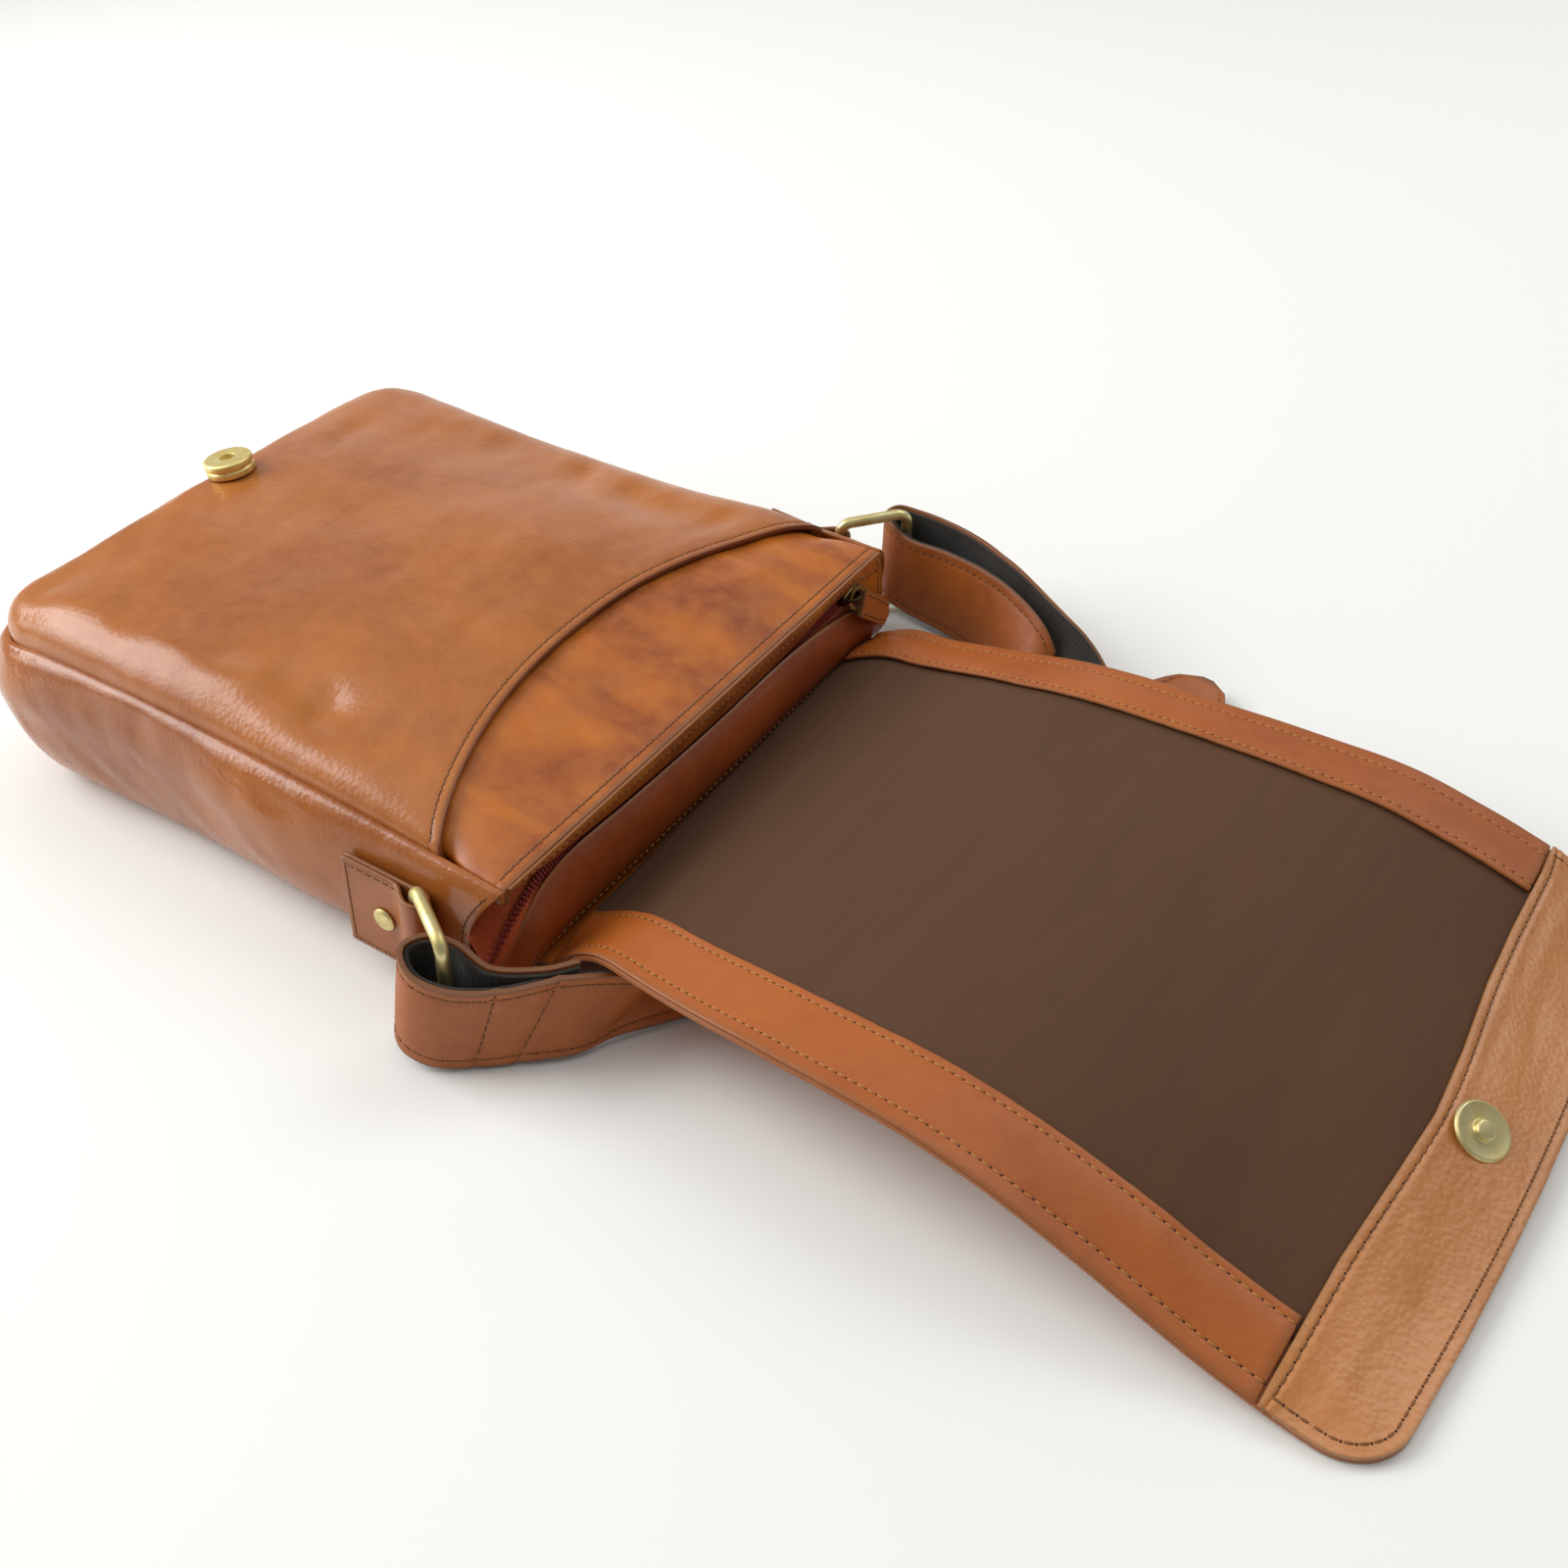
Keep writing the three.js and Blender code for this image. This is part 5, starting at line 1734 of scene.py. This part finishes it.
    def _build_stud(self) -> None:
        """Builds the snap's stud on the hem: a dished disc with a nub."""
        share = self.stud_y / self.half
        seat, under = self.sunk(self.stud_x, share, -0.6), self.sunk(self.stud_x, share, 1.0)
        outline = [(0, 0), (8.4, 0), (8.4, 0.7), (7.8, 1.3), (7.2, 1.2), (3.4, 0.7), (3.0, 0.8)]
        outline += [(2.8, 2.2), (2.4, 2.5), (0, 2.6)]
        axis = ((seat - under).normalized() + Vector(self.stud_tilt)).normalized()
        lathe("snap_stud_disc", outline, seat, axis, PALE_BRASS, "snap_stud")


@dataclass
class SnapSocket:
    """The snap's socket on the front: a thick disc with a hole for the stud."""

    body: BagBody
    x: float = -236.0
    y: float = 2.0
    lift: float = 1.3
    probe: float = 6.0

    def build(self) -> None:
        """Builds the socket, standing square on the pocket's leather."""
        inset = self.body.inset
        low = self.body.front_height(self.x - self.probe, self.y, inset)
        high = self.body.front_height(self.x + self.probe, self.y, inset)
        axis = Vector((low - high, 0.0, 2 * self.probe)).normalized()
        seat = Vector((self.x, self.y, self.body.front_height(self.x, self.y, inset))) + axis * self.lift
        outline = [(0, 0), (9.5, 0), (9.5, 2.2), (9.0, 2.6), (9.0, 3.0), (9.6, 3.4), (9.6, 5.4), (8.9, 6.0)]
        outline += [(2.9, 6.0), (2.6, 2.0), (0, 2.0)]
        lathe("snap_socket_disc", outline, seat, axis, SNAP_BRASS, "snap_socket")


StrapRow = Tuple[float, float, float, float, float]
# Bottom edge x, y, z and where the top edge leans to, x and y
NEAR_STRAP: List[StrapRow] = [
    (13.5, -119.6, 1.5, 13, 13.5),
    (8.5, -124, 1.5, 12.5, 9.5),
    (-3, -129.5, 3, 11, 5),
    (-14, -128.5, 6.4, 10, 4),
    (-21.5, -131, 7.4, 9, 4),
    (-24.5, -137, 7.4, 9, 4),
    (-18.5, -142, 5.5, 10, 4),
    (-9, -141, 3, 11, 5),
    (1, -134.4, 1.5, 12, 6),
    (11.5, -126.5, 1.5, 13, 13),
    (24, -117, 1.8, 14.5, 27.5),
    (31, -106.6, 1.9, 4, 31),
    (39, -97, 1.9, -4, 31.5),
    (54, -80, 1.9, -10, 31),
    (80, -55, 2, -22, 26),
    (106, -25, 2.8, -32, 15),
    (123, 8, 3.5, -35.6, 5.2),
    (126.5, 30, 3.5, -35.8, 3.7),
    (128.5, 60, 2.4, -35.9, 2.4),
    (130, 100, 1.9, -35.9, 2),
    (138, 139.5, 1.9, -35, -2),
]
FAR_STRAP: List[StrapRow] = [
    (61, 82, 1.9, 11, 28.5),
    (57, 93, 1.9, 8.5, 21),
    (48, 106, 1.9, 5, 14),
    (34.5, 120, 1.9, 2, 6),
    (14, 128, 3, 2.5, 2),
    (-4, 131.5, 4.4, 3.5, -1),
    (-14.5, 133.5, 6.9, 3.5, 1),
    (-19.5, 139, 7.3, 4, 0.5),
    (-18.5, 145.5, 7, 4, 0),
    (-11, 149, 5.5, 4, -1.5),
    (2, 148.5, 4, 3, -1),
    (16.5, 143.5, 3, 2.5, 1),
    (31, 134.5, 1.9, 3, 4),
    (47.4, 115.5, 1.9, 6, 15),
    (60, 103, 1.9, 9, 19.5),
    (68.5, 95, 1.9, 12.5, 22),
    (74.5, 86.5, 1.9, 17, 23.4),
    (78.5, 75, 3.2, 26, 20),
    (84, 60, 7.4, 35.3, 3.5),
    (89.8, 34, 9.3, 35.9, -2.4),
    (87, 11, 9.3, 35.8, -3.6),
]


@dataclass
class Strap:
    """One half of the strap: leather outside, canvas inside, sewn along both edges.

    Attributes:
        side: The side of the bag that it hangs on.
        rows: Its places along the way, from the end that is sewn down.
        tipped: Whether its last end is rounded.
        cross_rows: Shares along it where rows of stitches cross it.
        sew_from: Share along it where the edge stitches start.
        width: Its width.
        leather: Thickness of its leather.
        canvas: Thickness of its canvas.
        layer_gap: Between the two.
        tip_length: Length of the rounded end, as a share of the strap.
        tip_width: Width at its very end, as a share.
        edge_row: From an edge to its row of stitches, as a share of the width.
        edge_groove: Width of the groove under an edge row, as a share of the width.
        cross_groove: Width of the groove under a cross row, as a share of the strap.
        spans: Stations from one row to the next.
    """

    side: Side
    rows: List[StrapRow]
    tipped: bool
    cross_rows: Tuple[float, ...]
    sew_from: float
    width: float = 36.0
    leather: float = 1.7
    canvas: float = 1.2
    layer_gap: float = 0.4
    tip_length: float = 0.05
    tip_width: float = 0.12
    edge_row: float = 0.1
    edge_groove: float = 0.03
    cross_groove: float = 0.0035
    spans: int = 10

    def __post_init__(self) -> None:
        """Makes the curves of the bottom edge and of the lean."""
        self.edge = Spline([Vector(row[:3]) for row in self.rows])
        self.lean = Spline([Vector((row[3], row[4], 0.0)) for row in self.rows])

    def face(self, along: float, up: float) -> Vector:
        """Bends the strap's middle.

        Args:
            along: Share along it.
            up: Share up from its bottom edge.

        Returns:
            The point.
        """
        tilt = self.lean(along)
        tilt.z = math.sqrt(max(self.width**2 - tilt.length_squared, 0.25))
        left = clamp((along - 1 + self.tip_length) / self.tip_length)
        taper = self.tip_width + (1 - self.tip_width) * math.sqrt(1 - left * left) if self.tipped else 1.0
        return self.edge(along) + tilt * (0.5 + (up - 0.5) * taper)

    def build(self) -> None:
        """Builds the leather, the canvas and the rows of stitches."""
        name = f"strap_{self.side.name.lower()}"
        turn = -self.side.value
        steps = (len(self.rows) - 1) * self.spans
        along = [i / steps for i in range(steps + 1)]
        ups = stations(0.0, 1.0, 0.08, [self.edge_row, 1 - self.edge_row], 0.02)

        def outside(a: float, up: float, point: Vector) -> float:
            """Sets the leather on the outside and presses the grooves under its stitches.

            Args:
                a: Share along the strap.
                up: Share up from its bottom edge.
                point: The point there.

            Returns:
                How far the leather's middle lies from the strap's.
            """
            grooves = 0.3 * bell(up - self.edge_row, self.edge_groove)
            grooves += 0.3 * bell(up - 1 + self.edge_row, self.edge_groove)
            grooves += sum(0.7 * bell(a - row, self.cross_groove) for row in self.cross_rows)
            return turn * ((self.leather + self.layer_gap) / 2 - grooves + 0.15 * ripple(point, 15.0, 31.0))

        def inside(a: float, up: float, point: Vector) -> float:
            """Returns how far the canvas lies from the strap's middle."""
            return -turn * (self.canvas + self.layer_gap) / 2

        leather = Sheet(f"{name}_leather", self.face, along, ups, self.leather, STRAP_HIDE, "tan_leather")
        host = leather.dress(name, outside, rim_mm=0.6)
        inner_ups = stations(0.02, 0.98, 0.12, fine=0.05)
        cloth = Sheet(f"{name}_cloth", self.face, along, inner_ups, self.canvas, CANVAS, "strap_canvas")
        cloth.dress(f"{name}_canvas", inside)
        self._sew(name, host, turn)

    def _sew(self, name: str, host: bpy.types.Object, turn: int) -> None:
        """Sews the edges, and the loop's ends across the strap.

        Args:
            name: The strap's name.
            host: The strap's leather.
            turn: The side of its middle that the leather lies on.
        """
        tree = BVHTree.FromObject(host, bpy.context.evaluated_depsgraph_get())
        stitching = Stitching()
        mesh = bmesh.new()
        edges = (self.edge_row, 1 - self.edge_row)
        runs = [[(lerp(self.sew_from, 0.99, i / 400), up) for i in range(401)] for up in edges]
        runs += [[(a, lerp(0.04, 0.96, i / 30)) for i in range(31)] for a in self.cross_rows]
        for run in runs:
            path = [to_frame(self.face(a, up)) for a, up in run]
            outs = [self._out(a, up) * turn for a, up in run]
            for point, way in stitching.spread(path):
                nearest = min(range(len(path)), key=lambda i: (path[i] - point).length_squared)
                stitching.add_stitch(mesh, tree, point, way, outs[nearest])
        add_piece(f"{name}_stitching", mesh, [DARK_THREAD, NEEDLE_HOLE_SHADE], "tan_leather")

    def _out(self, along: float, up: float) -> Vector:
        """Finds which way the strap faces.

        Args:
            along: Share along it.
            up: Share up from its bottom edge.

        Returns:
            Its normal there.
        """
        step, up_step = 0.002, 0.02
        run = self.face(min(along + step, 1.0), up) - self.face(max(along - step, 0.0), up)
        rise = self.face(along, min(up + up_step, 1.0)) - self.face(along, max(up - up_step, 0.0))
        return run.cross(rise).normalized()


@dataclass
class RingFitting:
    """A brass ring in its folded and riveted leather tab.

    Attributes:
        side: The side of the bag that it is on.
        bar: Middle of the ring's bar inside the tab.
        up: The bar's direction.
        out: Which way the ring swings out of the tab.
        wire: Thickness of the ring's wire.
        long: Length of the ring's bar, middle to middle of the wire.
        short: Its other side.
        corner: Radius of its corners.
        tab_width: Width of the tab.
        tab_length: Length of the tab past the bar.
        leather: Thickness of its leather.
        gap: Between the wire and the leather.
        lean: How far the tab leans with the bag's side.
        rivet_reach: From the bar to the rivet.
        fold_start: From the bar to where the two layers meet.
        fold_pull: Second handle of the curve that closes the fold.
        fold_rise: First handle of that curve.
        sew_in: From the tab's edges to its stitches.
    """

    side: Side
    bar: Vector
    up: Vector
    out: Vector
    wire: float = 4.3
    long: float = 44.0
    short: float = 27.0
    corner: float = 4.5
    tab_width: float = 35.0
    tab_length: float = 32.0
    leather: float = 1.6
    gap: float = 0.4
    lean: float = 0.05
    rivet_reach: float = 15.5
    fold_start: float = 11.0
    fold_pull: float = 7.0
    fold_rise: float = 5.5
    sew_in: float = 2.0

    def __post_init__(self) -> None:
        """Squares the fitting's directions."""
        self.up = self.up.normalized()
        self.out = (self.out - self.up * self.out.dot(self.up)).normalized()
        along = Vector((-1.0, self.lean * self.side.value, 0.0))
        self.along = (along - self.up * along.dot(self.up)).normalized()
        self.face_out = self.up.cross(self.along) * -self.side.value
        self.inner = self.wire / 2 + self.gap
        self.outer = self.inner + self.leather

    def build(self) -> None:
        """Builds the ring, the tab, its stitching and its rivet."""
        name = self.side.name.lower()
        self._build_ring(name)
        self._build_tab(name)

    def _build_ring(self, name: str) -> None:
        """Bends the ring's wire: four straight runs and four corners.

        Args:
            name: The side's name.
        """
        mesh = bmesh.new()
        runs = (self.long - 2 * self.corner, self.short - 2 * self.corner) * 2
        start = Vector((0.0, -self.long / 2 + self.corner, 0.0)) * MM
        stand = Matrix.Translation(start) @ Matrix.Rotation(math.pi / 2, 4, "X")
        made = bmesh.ops.create_circle(mesh, segments=16, radius=self.wire / 2 * MM, matrix=stand)
        verts = made["verts"]
        way, inward, at = Vector((0.0, 1.0, 0.0)), Vector((1.0, 0.0, 0.0)), start
        for run in runs:
            edges = list({e for v in verts for e in v.link_edges if all(o in verts for o in e.verts)})
            grown = bmesh.ops.extrude_edge_only(mesh, edges=edges)["geom"]
            verts = [g for g in grown if isinstance(g, bmesh.types.BMVert)]
            bmesh.ops.translate(mesh, verts=verts, vec=way * run * MM)
            at = at + way * run * MM
            grown_edges = [g for g in grown if isinstance(g, bmesh.types.BMEdge)]
            edges = [e for e in grown_edges if all(v in verts for v in e.verts)]
            centre, axis = at + inward * self.corner * MM, way.cross(inward)
            bent = bmesh.ops.spin(
                mesh, geom=verts + edges, cent=centre, axis=axis, angle=math.pi / 2, steps=8
            )
            verts = [g for g in bent["geom_last"] if isinstance(g, bmesh.types.BMVert)]
            at = at + (way + inward) * self.corner * MM
            way, inward = inward, -way
        bmesh.ops.remove_doubles(mesh, verts=mesh.verts, dist=2 * MERGE)
        bmesh.ops.recalc_face_normals(mesh, faces=mesh.faces)
        turn = Matrix((self.out, self.up, self.out.cross(self.up))).transposed().to_4x4()
        bmesh.ops.transform(mesh, matrix=Matrix.Translation(to_frame(self.bar)) @ turn, verts=mesh.verts)
        add_piece(f"ring_{name}_wire", mesh, [PALE_BRASS], "aged_brass", [f"ring_{name}"])

    def fold(self) -> List[Vector]:
        """Folds the tab's middle line: out along the under layer, round the bar and back along the top one.

        Returns:
            Points that hold the reach along the tab and the height out of it.
        """
        middle = self.inner + self.leather / 2
        low = -self.outer + self.leather / 2
        high = low + self.leather
        line = [Vector((lerp(self.tab_length, 0.0, i / 12), low, 0.0)) for i in range(12)]
        turns = [i * math.pi / 10 for i in range(11)]
        line += [Vector((-math.sin(turn), -math.cos(turn), 0.0)) * middle for turn in turns]
        start, rise = Vector((0.0, middle, 0.0)), Vector((self.fold_rise, middle, 0.0))
        pull, end = Vector((self.fold_pull, high, 0.0)), Vector((self.fold_start, high, 0.0))
        for t in (i / 8 for i in range(1, 9)):
            left = 1 - t
            line.append(start * left**3 + rise * 3 * t * left**2 + pull * 3 * t * t * left + end * t**3)
        line += [Vector((lerp(self.fold_start, self.tab_length, i / 12), high, 0.0)) for i in range(1, 13)]
        return line

    def place(self, reach: float, height: float, across: float) -> Vector:
        """Returns a point of the fitting by its reach, its height out and its place across."""
        return self.bar + self.along * reach + self.face_out * height + self.up * across

    def _build_tab(self, name: str) -> None:
        """Folds the tab round the ring's bar, sews its edges and sets its rivet.

        Args:
            name: The side's name.
        """
        line = self.fold()

        def face(index: float, across: float) -> Vector:
            """Returns a point of the tab, by the number of its place on the folded line."""
            spot = line[int(index)]
            return self.place(spot.x, spot.y, across)

        half = self.tab_width / 2
        places, across = range(len(line)), stations(-half, half, 2.2)
        tab = Sheet(f"tab_{name}_leather", face, places, across, self.leather, TAB_HIDE, "tan_leather")
        host = tab.dress(f"tab_{name}", rim_mm=1.0)
        top = -self.outer + 2 * self.leather
        near, far, side = self.fold_start - self.sew_in, self.tab_length - self.sew_in, half - self.sew_in
        corners = [(near, -side), (far, -side), (far, side), (near, side)]
        paths = [
            [self.place(lerp(a[0], b[0], i / 20), top, lerp(a[1], b[1], i / 20)) for i in range(21)]
            for a, b in zip(corners, corners[1:])
        ]
        FINE_STITCH.sew(f"tab_{name}_stitching", host, paths, self.face_out, DARK_THREAD, "tan_leather")
        seat = self.place(self.rivet_reach, top + 0.3, 0.0)
        dome = [(0, 0), (4.1, 0), (4.1, 0.5), (3.3, 1.1), (1.6, 1.4), (0, 1.5)]
        lathe(f"tab_{name}_rivet_dome", dome, seat, self.face_out, PALE_BRASS, f"tab_{name}_rivet")


# Studio


@dataclass(frozen=True)
class Softbox:
    """A square soft light that faces the bag.

    Attributes:
        name: Its name.
        spot: Where it hangs, in the frame's metres.
        size: Length of its side.
        power: Its power in watts.
    """

    name: str
    spot: Tuple[float, float, float]
    size: float
    power: float

    def hang(self, target: Vector) -> None:
        """Hangs the light.

        Args:
            target: Where it points.
        """
        data = bpy.data.lights.new(self.name, "AREA")
        data.shape = "SQUARE"
        data.size = self.size
        data.energy = self.power
        lamp = add_object(self.name, data)
        lamp.location = self.spot
        lamp.rotation_mode = "QUATERNION"
        lamp.rotation_quaternion = (target - Vector(self.spot)).to_track_quat("-Z", "Y")


SOFTBOXES = (
    Softbox("window_softbox", (-1.38, -0.5, 1.25), 1.2, 26.0),
    Softbox("side_softbox", (-1.5, -1.1, 0.75), 0.8, 7.0),
    Softbox("ceiling_softbox", (-0.3, 0.0, 2.4), 2.8, 16.5),
    Softbox("back_softbox", (0.8, 1.25, 1.5), 1.2, 11.0),
    Softbox("backdrop_card", (-1.3, 1.6, 0.55), 1.6, 4.5),
)


@dataclass
class Studio:
    """The pale floor, the soft lights and the camera."""

    eye: Vector = field(default_factory=lambda: Vector((0.39057, -0.30647, 0.34356)))
    azimuth: float = math.radians(37.81)
    elevation: float = math.radians(39.74)
    roll: float = math.radians(6.03)
    lens: float = 34.2
    floor_size: float = 8.0
    floor_colour: str = "#F7F7F2"
    sky_colour: str = "#F6F8FA"
    sky_strength: float = 0.3
    lit: Tuple[float, float, float] = (0.1, 0.0, 0.0)

    def build(self) -> None:
        """Builds the studio."""
        self._build_camera()
        self._build_floor()
        self._build_lights()

    def _build_camera(self) -> None:
        """Sets the camera where the photograph was taken from."""
        data = bpy.data.cameras.new("camera")
        data.sensor_width = 36.0
        data.lens = self.lens
        data.clip_start = 0.01
        camera = add_object("camera", data)
        flat = math.cos(self.elevation)
        level_x, level_y = math.sin(self.azimuth) * flat, -math.cos(self.azimuth) * flat
        back = Vector((level_x, level_y, math.sin(self.elevation)))
        right = (-back).cross(UP).normalized()
        down = (-back).cross(right)
        level = right * math.cos(self.roll) + down * math.sin(self.roll)
        rise = right * math.sin(self.roll) - down * math.cos(self.roll)
        camera.matrix_world = Matrix.Translation(self.eye) @ Matrix((level, rise, back)).transposed().to_4x4()
        bpy.context.scene.camera = camera

    def _build_floor(self) -> None:
        """Lays the plain floor of matt white paper, which takes soft shadows."""
        mesh = bmesh.new()
        bmesh.ops.create_grid(mesh, x_segments=1, y_segments=1, size=self.floor_size / 2)
        data = bpy.data.meshes.new("floor")
        mesh.to_mesh(data)
        mesh.free()
        floor = add_object("floor", data)
        material, _, shader = Finish("matt_white_paper").shader()
        fill(shader, {"Base Color": linear(self.floor_colour), "Roughness": 0.75})
        data.materials.append(material)

    def _build_lights(self) -> None:
        """Hangs the soft lights under a pale sky."""
        world = bpy.data.worlds.new("studio_sky")
        world.use_nodes = True
        sky = world.node_tree.nodes["Background"]
        fill(sky, {"Color": linear(self.sky_colour), "Strength": self.sky_strength})
        bpy.context.scene.world = world
        for softbox in SOFTBOXES:
            softbox.hang(Vector(self.lit))
        bpy.context.scene.view_settings.view_transform = "Standard"


def dress_slide() -> None:
    """Gives the hidden strap slide its brass."""
    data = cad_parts["strap_slide"].data
    data.materials.clear()
    data.materials.append(PALE_BRASS.material())
    LOG.info("dressed strap_slide")


def main() -> None:
    """Builds the studio and the bag's sub-assemblies in order."""
    logging.basicConfig(level=logging.INFO, format="%(name)s: %(message)s")
    Studio().build()
    body = BagBody()
    near_ring = RingFitting(
        Side.NEAR, Vector((-28, -119, 25.4)), Vector((0.1, 0.1, 0.99)), Vector((0.86, -0.5, -0.13))
    )
    far_ring = RingFitting(
        Side.FAR, Vector((-26.5, 118.6, 26)), Vector((0.12, -0.12, 0.98)), Vector((0.7, 0.71, 0.0))
    )
    parts = (
        body,
        ZipTop(),
        Flap(),
        SnapSocket(body),
        Strap(Side.NEAR, NEAR_STRAP, tipped=True, cross_rows=(0.4025, 0.45), sew_from=0.26),
        Strap(Side.FAR, FAR_STRAP, tipped=False, cross_rows=(), sew_from=0.02),
        near_ring,
        far_ring,
    )
    for part in parts:
        part.build()
        LOG.info("finished %s", type(part).__name__)
    dress_slide()


if __name__ == "__main__":
    main()
